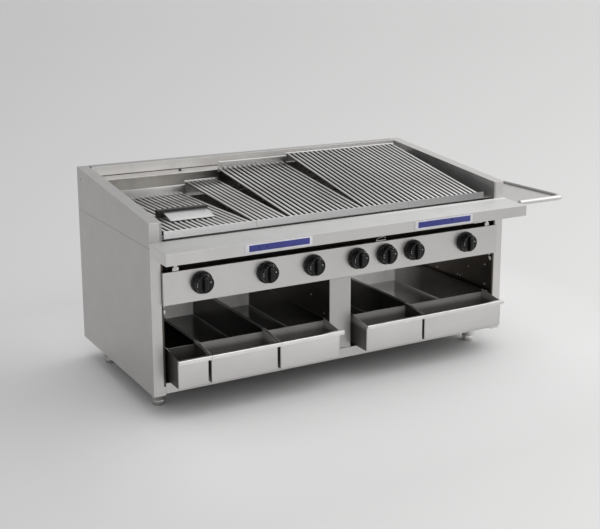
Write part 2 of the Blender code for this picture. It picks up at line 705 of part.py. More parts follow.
# Ledge top, plate bottom, plate top, lug depth and lug lift off the ledge.
# Heights are from the rods' axis, but the bottom of a foot, which has no
# lugs, is from the ledge.
REAR_PLATES = {
    "upstand_low": (LEDGE_LOW[2], -ROD_HALF - 0.002, 0.0330, (0.0090, 0.0)),
    "upstand_high": (LEDGE_HIGH[2], -ROD_HALF - 0.001, ROD_HALF + 0.0240, (0.0100, 0.0022)),
    "foot_low": (LEDGE_LOW[2], 0.0, ROD_HALF + 0.0020, None),
    "foot_high": (LEDGE_HIGH[2], 0.0002, ROD_HALF + 0.0005, None),
}
REAR_PLATE_T = 0.0050
REAR_PLATE_OVERHANG = 0.0045
LEDGE_CLEARANCE = GAP + 0.0002
LUG_WIDTH = 0.0200
LUG_INSET = 0.0200
LUG_TOP = 0.0100               # above the clearance line over the ledge
CROSS_BARS = ((0.0, 0.010), (0.36, 0.008), (0.70, 0.008))  # part of length, width
CROSS_BAR_Z = (-ROD_HALF - 0.0068, -ROD_HALF + 0.0010)


def grate(name, first, pitch, count, z_top, y_plate, kind):
    """Rods on cross bars with a rear plate, drawn flat about the tilt axis
    and then tilted to the height of the rods at the rear."""
    y_axis, z_axis = GRATE_AXIS
    ledge, bottom, top, lug = REAR_PLATES[kind]
    tilt = math.atan2(z_top - ROD_HALF - z_axis, y_plate - y_axis)
    length = (y_plate - y_axis) / math.cos(tilt)
    width = pitch * (count - 1) + ROD
    # height of the ledge measured across the tilted rods at the rear plate
    drop = (ledge + LEDGE_CLEARANCE - (z_top - ROD_HALF)) / math.cos(tilt)
    solids = [(pitch * k, pitch * k + ROD, ROD_FRONT, length, -ROD_HALF, ROD_HALF)
              for k in range(count)]
    for part, bar_width in CROSS_BARS:
        y = length * part
        solids.append((0, width, y - bar_width / 2, y + bar_width / 2, *CROSS_BAR_Z))
    rear = length + REAR_PLATE_T
    if lug:
        lug_depth, lug_lift = lug
        for x in (LUG_INSET, width - LUG_INSET - LUG_WIDTH):
            solids.append((x, x + LUG_WIDTH, rear, rear + lug_depth,
                           drop + lug_lift, drop + LUG_TOP))
    else:
        bottom += drop
    solids.append((-REAR_PLATE_OVERHANG, width + REAR_PLATE_OVERHANG, length, rear,
                   bottom, top))
    add_piece(name, blocks(solids), "rod", origin=(first - ROD_HALF, y_axis, z_axis),
              tilt=tilt, local=True)


# -------------------------------------------------------------------- scraper
SCRAPER_Z = 0.5287             # underside
BLADE_X = (0.1110, 0.2460)
BLADE_OUTLINE = (  # Y, Z
    (0.1100, SCRAPER_Z), (0.1750, SCRAPER_Z), (0.1750, 0.5450),
    (0.1690, 0.5450), (0.1100, 0.5325))
SCRAPER_BAR = (0.0930, 0.2520, 0.1700, 0.1860, SCRAPER_Z, 0.5480)


def scraper():
    """Bar with a sloping blade, lying on the left grate."""
    shape = combine(prism(BLADE_OUTLINE, *BLADE_X, "X"), blocks([SCRAPER_BAR]), "UNION")
    add_piece("scraper", shape, "bar", origin=(0.1720, 0.1500, 0.5303))


# ------------------------------------------------------------------- assembly
side_panel("side_panel_left", 0.0, 1, pipe_slot=False)
side_panel("side_panel_right", WIDTH, -1, pipe_slot=True)
upper_side("upper_side_left", 0.0, UPPER_SIDE)
upper_side("upper_side_right", WIDTH - UPPER_SIDE, WIDTH)
back_panel()
base_tray()
bottom_rail()
centre_column()
legs()
firebox_front()
rear_ladder()
front_shelf()
control_panel()
front_grate_bar()
nameplates()
side_shelf()
gas_manifold()
for number, x in enumerate(VALVE_X, 1):
    valve(number, x)
    burner(number, x)
    radiant(number, x)
    knob(number, x)
for pan_spec in PANS:
    water_pan(*pan_spec)
for grate_spec in GRATES:
    grate(*grate_spec)
scraper()
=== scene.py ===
# Looks for a counter-top gas charbroiler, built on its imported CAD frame.
# Layout numbers are metres in the cabinet's own coordinates: X runs right from
# the left outer face, Y backwards from the front posts, Z up from the counter.
# ORIGIN, the corner of the left side panel, moves them into the row frame.

import math

import bmesh
import bpy
from mathutils import Matrix, Vector


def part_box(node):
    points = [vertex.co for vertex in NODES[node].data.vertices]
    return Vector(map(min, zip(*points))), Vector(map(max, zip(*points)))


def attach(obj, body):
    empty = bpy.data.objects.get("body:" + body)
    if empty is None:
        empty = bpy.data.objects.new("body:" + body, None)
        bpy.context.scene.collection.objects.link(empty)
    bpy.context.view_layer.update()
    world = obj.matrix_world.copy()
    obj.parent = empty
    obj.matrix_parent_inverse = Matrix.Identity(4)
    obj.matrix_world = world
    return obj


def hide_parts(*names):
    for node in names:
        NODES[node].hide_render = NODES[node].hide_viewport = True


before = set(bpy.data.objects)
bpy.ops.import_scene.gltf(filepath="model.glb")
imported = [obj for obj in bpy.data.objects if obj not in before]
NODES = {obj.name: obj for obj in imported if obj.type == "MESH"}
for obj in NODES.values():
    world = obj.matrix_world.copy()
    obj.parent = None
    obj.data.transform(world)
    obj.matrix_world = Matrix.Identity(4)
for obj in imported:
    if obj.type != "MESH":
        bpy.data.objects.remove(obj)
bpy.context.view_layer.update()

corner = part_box("side_panel_left")[0]
ORIGIN = {"X": corner.x, "Y": corner.y, "Z": 0.0}

# ------------------------------------------------------- shared dimensions
WIDTH, DEPTH = 1.2192, 0.6000
VALVE_X = (0.1452, 0.3490, 0.5022, 0.6550, 0.7575, 0.8580, 1.0610)
VALVE_Z = 0.3785                  # height of the valve, knob and burner axes
LINER = 0.0360                    # outer face to the bay side of each side wall


def at(x, y, z):
    """Cabinet coordinates to the row frame."""
    return Vector((x + ORIGIN["X"], y + ORIGIN["Y"], z))


# ------------------------------------------------------------ shader nodes
MIDDLE = (0.3, 0.7)               # the range that holds most of a noise


def scaled(colour, factor, plus=0.0):
    return tuple(min(1.0, c * factor + plus) for c in colour)


class Nodes:
    """Short ways to add nodes to one node tree."""

    def __init__(self, tree):
        self.tree = tree

    def feed(self, socket, value):
        """Links another socket to this input, or sets its value."""
        if isinstance(value, bpy.types.NodeSocket):
            self.tree.links.new(value, socket)
        else:
            socket.default_value = value

    def add(self, kind, inputs=None, **settings):
        node = self.tree.nodes.new("ShaderNode" + kind)
        for key, value in settings.items():
            setattr(node, key, value)
        for key, value in (inputs or {}).items():
            self.feed(node.inputs[key], value)
        return node

    def coordinates(self):
        return self.add("TexCoord").outputs

    def split(self, vector):
        return self.add("SeparateXYZ", {0: vector}).outputs

    def math(self, operation, *values):
        return self.add("Math", dict(enumerate(values)), operation=operation).outputs[0]

    def multiply(self, first, second):
        return self.math("MULTIPLY", first, second)

    def dot(self, first, second):
        node = self.add("VectorMath", {0: first, 1: second}, operation="DOT_PRODUCT")
        return node.outputs["Value"]

    def remap(self, value, source=MIDDLE, target=(0.0, 1.0), interpolation="LINEAR"):
        """Clamped change of range."""
        node = self.add("MapRange", {
            "From Min": source[0], "From Max": source[1],
            "To Min": target[0], "To Max": target[1], "Value": value,
        }, clamp=True, interpolation_type=interpolation)
        return node.outputs["Result"]

    def noise(self, vector, scale, detail=3.0, roughness=0.5, distortion=0.0):
        """scale is one number, or one for each axis."""
        if not isinstance(scale, tuple):
            scale = (scale,) * 3
        mapping = self.add("Mapping", {"Scale": scale, "Vector": vector})
        node = self.add("TexNoise", {
            "Scale": 1.0, "Detail": detail, "Roughness": roughness,
            "Distortion": distortion, "Vector": mapping.outputs[0],
        })
        return node.outputs["Fac"]

    def mix(self, amount, first, second, blend="MIX"):
        """Mixes two colours, each a socket or an RGB tuple."""
        first, second = ((*c, 1.0) if isinstance(c, tuple) else c
                         for c in (first, second))
        return self.add("Mix", {0: amount, 6: first, 7: second},
                        data_type="RGBA", blend_type=blend).outputs[2]

    def mix_value(self, amount, first, second):
        return self.add("Mix", {0: amount, 2: first, 3: second},
                        data_type="FLOAT").outputs[0]

    def grey(self, value):
        return self.add("CombineColor", {k: value for k in range(3)}).outputs[0]

    def bump(self, height, strength, distance, normal=None):
        inputs = {"Strength": strength, "Distance": distance, "Height": height}
        if normal:
            inputs["Normal"] = normal
        return self.add("Bump", inputs).outputs[0]

    def edges(self, radius, amount):
        """amount near convex and concave edges, 0 on flat faces."""
        bevel = self.add("Bevel", {"Radius": radius}, samples=4)
        geometry = self.add("NewGeometry")
        flatness = self.dot(bevel.outputs[0], geometry.outputs["Normal"])
        return self.multiply(self.remap(flatness, (1.0, 0.80)), amount)


class Finish(Nodes):
    """One Principled material."""

    def __init__(self, name):
        self.material = bpy.data.materials.new(name)
        self.material.use_nodes = True
        super().__init__(self.material.node_tree)
        self.inputs = self.tree.nodes["Principled BSDF"].inputs

    def set(self, key, value):
        self.feed(self.inputs[key], value)

    def current(self, key):
        """What an input holds now: the linked socket or the plain value."""
        socket = self.inputs[key]
        return socket.links[0].from_socket if socket.links else socket.default_value


# ---------------------------------------------------------- kinds of finish
def brushed(name, colour, rough, grain, bump=0.035, vary=0.05, edge=0.18,
            tint=None, tint_amount=0.0):
    """Sheet steel with fine grain, faint blotches and lighter edges, partly wear and
    partly painted highlight.

    grain is the noise scale along X, Y and Z; the grain runs along the axes
    with the small numbers."""
    finish = Finish(name)
    coords = finish.coordinates()["Object"]
    fine = finish.noise(coords, grain, detail=4.0, roughness=0.62)
    streaks = finish.noise(coords, tuple(g * 0.22 for g in grain), roughness=0.6)
    cloud = finish.noise(coords, 2.6, detail=4.0, roughness=0.55, distortion=0.6)
    spots = finish.noise(coords, 23.0, distortion=1.2)
    tone = finish.mix(finish.remap(cloud), scaled(colour, 1.0 - vary * 1.6),
                      scaled(colour, 1.0 + vary))
    streak_amount = finish.multiply(finish.remap(streaks), 0.22)
    tone = finish.mix(streak_amount, tone, scaled(colour, 0.90))
    if tint is not None:
        tinted = finish.remap(cloud, (0.42, 0.66), (0.0, tint_amount))
        tone = finish.mix(tinted, tone, tint)
    # lighter edges: partly wear, partly painted highlight
    if edge > 0:
        edge_wear_and_highlight = finish.edges(radius=0.0011, amount=edge)
        tone = finish.mix(edge_wear_and_highlight, tone, (0.86, 0.86, 0.85))
    finish.set("Base Color", tone)
    finish.set("Metallic", 1.0)
    finish.set("Roughness", finish.math(
        "ADD", finish.remap(fine, (0.25, 0.75), (-0.05, 0.06)),
        finish.remap(spots, target=(rough - 0.03, rough + 0.04))))
    grain_bump = finish.bump(fine, strength=bump, distance=0.0004)
    finish.set("Normal", finish.bump(cloud, strength=0.05, distance=0.004,
                                     normal=grain_bump))
    return finish


def cast(name, colour, rough, metallic, grit, bump, rust=None):
    """Rough iron skin, optionally with heat-brown patches."""
    finish = Finish(name)
    coords = finish.coordinates()["Object"]
    fine = finish.noise(coords, grit, detail=5.0, roughness=0.65)
    cloud = finish.noise(coords, 9.0, detail=4.0, roughness=0.6, distortion=0.5)
    tone = finish.mix(finish.remap(fine), scaled(colour, 0.72), scaled(colour, 1.28))
    if rust is not None:
        patches = finish.remap(cloud, (0.46, 0.68), (0.0, 0.55))
        tone = finish.mix(patches, tone, rust)
    # lighter edges: partly wear, partly painted highlight
    edge_wear_and_highlight = finish.edges(radius=0.0015, amount=0.25)
    tone = finish.mix(edge_wear_and_highlight, tone, scaled(colour, 2.4, plus=0.03))
    finish.set("Base Color", tone)
    finish.set("Metallic", metallic)
    finish.set("Roughness", finish.remap(cloud, target=(rough - 0.10, rough + 0.08)))
    finish.set("Normal", finish.bump(fine, strength=bump, distance=0.0012))
    return finish


def phenolic(name):
    """Glossy black plastic with faint moulding texture and lighter edges, partly wear
    and partly painted highlight.
    """
    finish = Finish(name)
    coords = finish.coordinates()["Object"]
    fine = finish.noise(coords, 700.0, roughness=0.6)
    cloud = finish.noise(coords, 60.0)
    tone = finish.mix(finish.remap(cloud), (0.0030, 0.0030, 0.0032),
                      (0.0060, 0.0060, 0.0063))
    # lighter edges: partly wear, partly painted highlight
    edge_wear_and_highlight = finish.edges(radius=0.0008, amount=0.5)
    finish.set("Base Color", finish.mix(edge_wear_and_highlight, tone, (0.022, 0.022, 0.023)))
    finish.set("Specular IOR Level", 0.30)
    finish.set("Roughness", finish.remap(cloud, target=(0.16, 0.26)))
    finish.set("Normal", finish.bump(fine, strength=0.06, distance=0.0003))
    return finish


def enamel(name, colour, rough, worn):
    """Fired or printed colour with small chips and a faint orange peel."""
    finish = Finish(name)
    coords = finish.coordinates()["Object"]
    fine = finish.noise(coords, 420.0, roughness=0.6)
    cloud = finish.noise(coords, 30.0, detail=4.0, roughness=0.6)
    tone = finish.mix(finish.remap(cloud), scaled(colour, 0.85), scaled(colour, 1.12))
    chips = finish.remap(fine, (0.66, 0.74), (0.0, 0.5))
    finish.set("Base Color", finish.mix(chips, tone, worn))
    finish.set("Roughness", finish.remap(cloud, target=(rough - 0.05, rough + 0.08)))
    finish.set("Normal", finish.bump(fine, strength=0.05, distance=0.0004))
    return finish


# ---------------------------------------------------------------- finishes
STEEL = (0.625, 0.611, 0.600)
GRAIN_X = (6.0, 900.0, 900.0)
GRAIN_Y = (900.0, 6.0, 900.0)
GRAIN_Z = (900.0, 900.0, 6.0)
FINISHES = {
    "front": brushed("steel_front", STEEL, rough=0.34, grain=GRAIN_X),
    "side": brushed("steel_side", STEEL, rough=0.36, grain=GRAIN_Y),
    "top": brushed("steel_top", STEEL, rough=0.34, grain=(6.0, 900.0, 6.0)),
    "post": brushed("steel_post", (0.495, 0.482, 0.473), rough=0.34, grain=GRAIN_Z),
    "liner": brushed("steel_liner", (0.10, 0.096, 0.092), rough=0.38, grain=GRAIN_Y,
                     vary=0.10, tint=(0.16, 0.13, 0.11), tint_amount=0.6),
    "firebox": brushed("steel_firebox", (0.40, 0.38, 0.355), rough=0.42,
                       grain=GRAIN_X, vary=0.12, tint=(0.24, 0.19, 0.145),
                       tint_amount=0.55),
    "pan": brushed("steel_pan", (0.72, 0.705, 0.695), rough=0.32, grain=GRAIN_X),
    "bar": brushed("steel_bar", (0.68, 0.68, 0.68), rough=0.34, grain=GRAIN_X),
    "rod": brushed("steel_rod", (0.84, 0.835, 0.825), rough=0.30,
                   grain=(90.0, 60.0, 90.0), bump=0.22, vary=0.16, edge=0.0,
                   tint=(0.26, 0.24, 0.215), tint_amount=0.50),
    "plate": brushed("steel_plate", (0.72, 0.71, 0.70), rough=0.36, grain=GRAIN_X,
                     vary=0.09),
    "leg": brushed("steel_leg", (0.66, 0.65, 0.64), rough=0.34, grain=GRAIN_Z,
                   vary=0.08),
    "screw": brushed("steel_screw", (0.66, 0.655, 0.645), rough=0.28,
                     grain=(300.0, 300.0, 300.0), edge=0.0),
    "blade": brushed("steel_blade", (0.58, 0.58, 0.58), rough=0.30,
                     grain=(700.0, 20.0, 700.0)),
    "dark_bar": brushed("steel_dark_bar", (0.045, 0.044, 0.043), rough=0.38,
                        grain=(6.0, 300.0, 300.0), vary=0.20, edge=0.10),
    "iron": cast("cast_iron_black", (0.070, 0.067, 0.064), rough=0.72,
                 metallic=0.4, grit=320.0, bump=0.45, rust=(0.10, 0.070, 0.050)),
    "radiant": cast("radiant_steel", (0.105, 0.100, 0.095), rough=0.60,
                    metallic=0.5, grit=240.0, bump=0.20, rust=(0.15, 0.105, 0.075)),
    "brass": brushed("valve_brass", (0.60, 0.44, 0.20), rough=0.30,
                     grain=(300.0, 60.0, 300.0), edge=0.10),
    "knob": phenolic("knob_black"),
    "mark": enamel("mark_white", (0.46, 0.46, 0.45), rough=0.45,
                   worn=(0.30, 0.30, 0.30)),
    "blue": enamel("plate_blue", (0.026, 0.032, 0.205), rough=0.30,
                   worn=(0.10, 0.11, 0.30)),
    "border": enamel("plate_border", (0.62, 0.62, 0.66), rough=0.34,
                     worn=(0.30, 0.30, 0.34)),
    "hole": cast("hole_dark", (0.010, 0.010, 0.010), rough=0.80, metallic=0.0,
                 grit=300.0, bump=0.10),
}


# ------------------------------------------------- local changes of finish, painted light and shade
def repaint(look, colour, rough, metallic=1.0, vary=0.10, specular=0.5, **where):
    """Repaints the part of a finish where every rule in where holds.

    A rule is (low, high) or (low, high, softness) on X, Y or Z in cabinet
    coordinates, or on nx, ny or nz of the face normal."""
    finish = FINISHES[look]
    coords = finish.coordinates()
    position = finish.split(coords["Object"])
    normal = None
    mask = None
    for axis, (low, high, *softness) in where.items():
        if axis in ORIGIN:
            source, offset, soft = position[axis], ORIGIN[axis], 0.0004
        else:
            normal = normal or finish.split(coords["Normal"])
            source, offset, soft = normal[axis[1].upper()], 0.0, 0.08
        if softness:
            soft = softness[0]
        low, high = low + offset, high + offset
        above = finish.remap(source, (low - soft, low + soft))
        below = finish.remap(source, (high - soft, high + soft), (1.0, 0.0))
        inside = finish.multiply(above, below)
        mask = inside if mask is None else finish.multiply(mask, inside)
    cloud = finish.noise(coords["Object"], 14.0, detail=4.0, roughness=0.6,
                         distortion=0.8)
    tone = finish.mix(finish.remap(cloud), scaled(colour, 1.0 - vary),
                      scaled(colour, 1.0 + vary))
    finish.set("Base Color", finish.mix(mask, finish.current("Base Color"), tone))
    for key, value in (("Roughness", rough), ("Metallic", metallic),
                       ("Specular IOR Level", specular)):
        finish.set(key, finish.mix_value(mask, finish.current(key), value))


def shade_along_x(look, span, gain, tops_only=False):
    """Scales a finish's colour along X as painted light and shade, from gain[0] at
    span[0] to gain[1] at span[1], optionally only on faces that look up."""
    finish = FINISHES[look]
    coords = finish.coordinates()
    position = finish.split(coords["Object"])
    factor = finish.remap(position["X"], [x + ORIGIN["X"] for x in span], gain)
    if tops_only:
        top = finish.remap(finish.split(coords["Normal"])["Z"], (0.45, 0.55))
        factor = finish.math("ADD", finish.multiply(top, factor),
                             finish.math("SUBTRACT", 1.0, top))
    tone = finish.mix(1.0, finish.current("Base Color"), finish.grey(factor),
                      blend="MULTIPLY")
    finish.set("Base Color", tone)


# ranges for one component of a face normal
PLUS, MINUS = (0.5, 1.5), (-1.5, -0.5)
NOT_PLUS, ACROSS = (-1.5, 0.5), (-0.5, 0.5)
BAYS_X = (LINER - 0.0060, WIDTH - 0.0300)
BAYS_X = (0.0300, WIDTH - 0.0300)
BAY_SHADE = (0.085, 0.074, 0.064)

# inner sides of the side walls: painted shade, darkest below, lighter above
repaint("side", BAY_SHADE, rough=0.34, metallic=0.9, X=BAYS_X, Z=(0.09, 0.4874))
repaint("side", (0.38, 0.38, 0.38), rough=0.42, metallic=0.8,
        X=BAYS_X, Z=(0.4880, 0.70), nz=NOT_PLUS)
# the left side is duller than the fronts and painted darker as shade; its upward faces
# are darker still
repaint("side", (0.49, 0.478, 0.472), rough=0.40, vary=0.03,
        X=(-0.01, 0.0300), nz=(-1.5, 0.3), ny=ACROSS)
repaint("side", (0.42, 0.415, 0.410), rough=0.36, vary=0.04,
        X=(-0.01, 0.0400), nz=PLUS)
# centre column: painted shade behind its front, and painted shadow on its front at the
# top, under the control panel, and at its foot
POST_FRONT_Y = (-0.01, 0.0026)
repaint("post", BAY_SHADE, rough=0.34, metallic=0.9, Y=(0.0026, 0.60))
repaint("post", (0.10, 0.095, 0.09), rough=0.50, metallic=0.6,
        Y=POST_FRONT_Y, Z=(0.3218, 0.40))
repaint("post", (0.12, 0.115, 0.11), rough=0.50, metallic=0.6,
        Y=POST_FRONT_Y, Z=(0.0, 0.1016), X=(0.50, 0.62))
# lower inner face of the back panel, painted bright as painted light on the back of the
# bays
repaint("front", (0.80, 0.78, 0.76), rough=0.50, metallic=0.0, vary=0.06,
        Y=(0.5900, 0.7000), ny=MINUS, Z=(0.0, 0.50))
# rear of the firebox: all of it darker, a patch of painted shadow, painted light on the
# upper left, and a mid grey on the upward faces
REAR_Y = (0.4500, 0.7000)
repaint("firebox", (0.225, 0.210, 0.195), rough=0.42, metallic=0.9, Y=REAR_Y)
repaint("firebox", (0.085, 0.080, 0.075), rough=0.42, metallic=0.9,
        Y=REAR_Y, X=(0.4100, 0.5300, 0.030), Z=(0.5250, 0.5900, 0.010))
repaint("firebox", (0.82, 0.80, 0.765), rough=0.42, metallic=0.42,
        Y=REAR_Y, X=(-0.2, 0.4400, 0.040), Z=(0.5000, 0.70))
repaint("firebox", (0.47, 0.455, 0.44), rough=0.42, metallic=0.8,
        Y=REAR_Y, Z=(0.5860, 0.70), nz=PLUS)
# lower front of the firebox, painted near black as shade behind the control panel
repaint("firebox", (0.045, 0.043, 0.040), rough=0.45, metallic=0.9, vary=0.3,
        Y=(-0.0100, 0.0500), Z=(0.0, 0.4700))
# left end of the grates' rear plates
repaint("plate", (0.36, 0.355, 0.345), rough=0.44, metallic=0.7,
        X=(-0.05, 0.1500, 0.070), Y=(0.40, 0.60), Z=(0.50, 0.60))
# top of the front shelf, and the right part of its rear edge painted bright as painted
# light over the grate bar's shadow
repaint("front", (0.70, 0.695, 0.69), rough=0.50, metallic=0.12, vary=0.04,
        Y=(-0.1140, -0.0010), Z=(0.4700, 0.6), nz=PLUS)
repaint("front", (0.98, 0.975, 0.97), rough=0.50, metallic=0.12, vary=0.02,
        Y=(-0.0180, 0.0100, 0.008), Z=(0.4700, 0.6), X=(0.7, 1.3, 0.10), nz=PLUS)
# upper inner face of the back
repaint("front", (0.725, 0.712, 0.695), rough=0.38, metallic=0.80, vary=0.05,
        Y=(0.5500, 0.7000), ny=MINUS, Z=(0.5000, 0.70))
# painted light and shade: the front grate bar darker to the right, the upward faces of
# the fronts darker to the left, all the fronts a little darker to the right
shade_along_x("bar", span=(0.10, 1.10), gain=(1.25, 0.49))
shade_along_x("front", span=(0.00, 1.00), gain=(0.47, 0.86), tops_only=True)
shade_along_x("front", span=(0.00, 1.20), gain=(1.04, 0.92))

# pan floors behind the baffle, with painted shade and light: black on the left, brighter
# to the right
BEHIND_Y = (0.0312, 0.60)         # behind the front face of the baffle
FLOOR_Z = (0.0, 0.1020)
WALL_Z = (0.1022, 0.1940)
repaint("pan", (0.075, 0.073, 0.071), rough=0.22, Y=BEHIND_Y, Z=FLOOR_Z, nz=PLUS)
repaint("pan", (0.36, 0.355, 0.35), rough=0.17,
        Y=BEHIND_Y, X=(0.3600, 0.60), Z=FLOOR_Z, nz=PLUS)
repaint("pan", (0.84, 0.83, 0.82), rough=0.20,
        Y=BEHIND_Y, X=(0.8700, 1.30), Z=FLOOR_Z, nz=PLUS)
# pan walls painted dark as shade, with a lighter rear part on the far right as painted
# light
repaint("pan", (0.070, 0.067, 0.064), rough=0.28, Y=BEHIND_Y, Z=WALL_Z, nz=ACROSS)
repaint("pan", (0.55, 0.54, 0.53), rough=0.34, metallic=0.6,
        X=(0.8700, 1.30), Y=(0.4700, 0.60, 0.11), Z=WALL_Z, nx=MINUS)
# painted shade: black on the walls in the gaps between neighbouring pans
for gap_x in ((0.1380, 0.1487), (0.3550, 0.3660), (0.8630, 0.8730)):
    repaint("pan", (0.008, 0.008, 0.008), rough=0.90, metallic=0.0, vary=0.1,
            specular=0.02, X=gap_x, Y=(-0.0606, 0.60), Z=(0.0, 0.1690))
# rear walls
repaint("pan", (0.62, 0.61, 0.60), rough=0.40, metallic=0.3,
        Y=(0.5300, 0.60), Z=(0.1000, 0.2000))
# dull trough in front of the baffle, with painted shadow lower down
TROUGH_Y = (-0.0592, 0.0303)
repaint("pan", (0.42, 0.41, 0.40), rough=0.40, metallic=0.35,
        Y=TROUGH_Y, Z=(0.0, 0.1935), ny=NOT_PLUS)
repaint("pan", (0.13, 0.125, 0.12), rough=0.40, metallic=0.35,
        Y=TROUGH_Y, Z=(0.0, 0.1690, 0.007), ny=NOT_PLUS)
# painted highlight: bright face of the folded lip
repaint("pan", (0.80, 0.79, 0.78), rough=0.30, vary=0.05,
        Y=(-0.10, -0.0684), Z=(0.1698, 0.20))
# turned hems are dull and painted dark as shade; the narrow pan's trough is painted
# black as shade
repaint("pan", (0.20, 0.195, 0.19), rough=0.42, metallic=0.9,
        Y=(0.0350, 0.60), Z=(0.1934, 0.2000), nz=(0.4, 1.5))
repaint("pan", (0.050, 0.048, 0.045), rough=0.40, metallic=0.35,
        X=(0.0400, 0.1385), Y=(-0.0590, 0.0303), Z=(0.0, 0.1900), ny=NOT_PLUS)
# painted shade: the left-facing side of the divider and the outer hems of the right bay
# are dark
repaint("pan", (0.050, 0.048, 0.045), rough=0.40, metallic=0.6,
        X=(0.8600, 0.8716), Y=(-0.0585, 0.60), Z=(0.1015, 0.1930), nx=(-1.5, -0.4))
for hem_x in ((0.6500, 0.6622), (1.1650, 1.1800)):
    repaint("pan", (0.030, 0.029, 0.028), rough=0.50, metallic=0.6,
            X=hem_x, Y=(0.0320, 0.60), Z=(0.1840, 0.20))
# painted shade: pans a little darker to the right, legs darker to the left
shade_along_x("pan", span=(0.50, 1.17), gain=(1.00, 0.86))
shade_along_x("leg", span=(0.00, 1.20), gain=(0.74, 1.25))

# painted shade: the flanks of the grate rods are dark, their upward crowns stay bright
repaint("rod", (0.085, 0.082, 0.078), rough=0.45, metallic=0.9, vary=0.25,
        nz=(-1.5, 0.50, 0.34))
# painted shade: the rods darker between X 0.66 and 0.95
shade_along_x("rod", span=(0.45, 0.66), gain=(1.00, 0.84))
shade_along_x("rod", span=(0.80, 0.95), gain=(1.00, 1.20))
# outer edge of the side shelf, painted dark as shade
repaint("top", (0.28, 0.277, 0.273), rough=0.36, metallic=0.9, vary=0.05,
        X=(1.3830, 1.4200), Y=(-0.0600, 0.50))


# -------------------------------------------------------------- mesh tools
def join(shape, part, slot=0, matrix=None):
    """Moves part into shape, in one material slot, and frees it."""
    if matrix is not None:
        part.transform(matrix)
    bmesh.ops.recalc_face_normals(part, faces=part.faces)
    copies = {vert: shape.verts.new(vert.co) for vert in part.verts}
    for face in part.faces:
        copy = shape.faces.new([copies[vert] for vert in face.verts])
        copy.material_index = slot
    part.free()


def round_edges(part, width, segments):
    bmesh.ops.bevel(part, geom=part.edges[:], offset=width, segments=segments,
                    profile=0.5, affect="EDGES", clamp_overlap=True)


def lathe(shape, profile, sides, axis, centre=(0, 0, 0)):
    """Closed body of revolution; profile is (radius, place along the axis),
    with both ends on the axis."""
    along = "XYZ".index(axis)
    across, up = (along + 1) % 3, (along + 2) % 3
    rings = []
    for radius, place in profile:
        ring = []
        for k in range(sides if radius > 1e-9 else 1):
            angle = 2 * math.pi * k / sides
            point = [0, 0, 0]
            point[along] = place
            point[across] = centre[across] + radius * math.cos(angle)
            point[up] = centre[up] + radius * math.sin(angle)
            ring.append(shape.verts.new(point))
        rings.append(ring)
    for lower, upper in zip(rings, rings[1:]):
        for k in range(sides):
            corners = []
            for ring, step in ((lower, k), (lower, k + 1), (upper, k + 1), (upper, k)):
                vert = ring[step % len(ring)]
                if vert not in corners:
                    corners.append(vert)
            shape.faces.new(corners)


def box(shape, x, y, z, bevel, segments=2, slot=0, matrix=None):
    """A box with rounded edges; x, y and z are (low, high)."""
    part = bmesh.new()
    bmesh.ops.create_cube(part, size=1.0)
    for vert in part.verts:
        vert.co = Vector([(low + high) / 2 + c * (high - low)
                          for c, (low, high) in zip(vert.co, (x, y, z))])
    round_edges(part, bevel, segments)
    join(shape, part, slot, matrix)


def prism(shape, outline, span, axis, bevel, segments=2, slot=0):
    """Rounded extrusion of an outline, in (Y, Z) along X or (X, Z) along Y."""
    part = bmesh.new()
    low, high = [
        [part.verts.new((a, p, z) if axis == "X" else (p, a, z)) for p, z in outline]
        for a in span]
    part.faces.new(low)
    part.faces.new(list(reversed(high)))
    for k in range(len(outline)):
        after = (k + 1) % len(outline)
        part.faces.new((low[k], high[k], high[after], low[after]))
    bmesh.ops.recalc_face_normals(part, faces=part.faces)
    round_edges(part, bevel, segments)
    join(shape, part, slot)


def tube(shape, path, radius, sides, cap=0.0):
    """Round bar along a path; cap softens the rims of its ends."""
    points = [Vector(point) for point in path]
    last = len(points) - 1
    angles = [2 * math.pi * k / sides for k in range(sides)]
    rings = []
    normal = None
    for i, point in enumerate(points):
        if i == 0:
            tangent = (points[1] - points[0]).normalized()
        elif i == last:
            tangent = (points[-1] - points[-2]).normalized()
        else:
            tangent = ((point - points[i - 1]).normalized()
                       + (points[i + 1] - point).normalized()).normalized()
        if normal is None:
            normal = Vector((0, 0, 1)) if abs(tangent.z) < 0.9 else Vector((1, 0, 0))
        normal = (normal - tangent * normal.dot(tangent)).normalized()
        side = tangent.cross(normal)
        if i in (0, last) and cap > 0:
            outward = 1 if i else -1
            steps = [(radius, 0.0), (radius - cap * 0.3, cap * 0.7), (radius - cap, cap)]
            for size, offset in steps[::outward]:
                rings.append([point + tangent * outward * (offset - cap)
                              + (normal * math.cos(a) + side * math.sin(a)) * size
                              for a in angles])
        else:
            rings.append([point + (normal * math.cos(a) + side * math.sin(a)) * radius
                          for a in angles])
    part = bmesh.new()
    loops = [[part.verts.new(co) for co in ring] for ring in rings]
    for near, far in zip(loops, loops[1:]):
        for k in range(sides):
            after = (k + 1) % sides
            part.faces.new((near[k], near[after], far[after], far[k]))
    part.faces.new(list(reversed(loops[0])))
    part.faces.new(loops[-1])
    join(shape, part)


def rounded(path, radius, steps):
    """Polyline with its inner corners rounded."""
    points = [Vector(point) for point in path]
    result = [points[0]]
    for before, bend, after in zip(points, points[1:], points[2:]):
        back = (before - bend).normalized()
        onward = (after - bend).normalized()
        angle = back.angle(onward)
        setback = min(radius / math.tan(angle / 2), (before - bend).length * 0.49,
                      (after - bend).length * 0.49)
        fitted = setback * math.tan(angle / 2)
        centre = bend + (back + onward).normalized() * (fitted / math.sin(angle / 2))
        start = (bend + back * setback) - centre
        end = (bend + onward * setback) - centre
        sweep = start.angle(end)
        axis = start.cross(end).normalized()
        for k in range(steps + 1):
            result.append(centre + Matrix.Rotation(sweep * k / steps, 3, axis) @ start)
    result.append(points[-1])
    return result


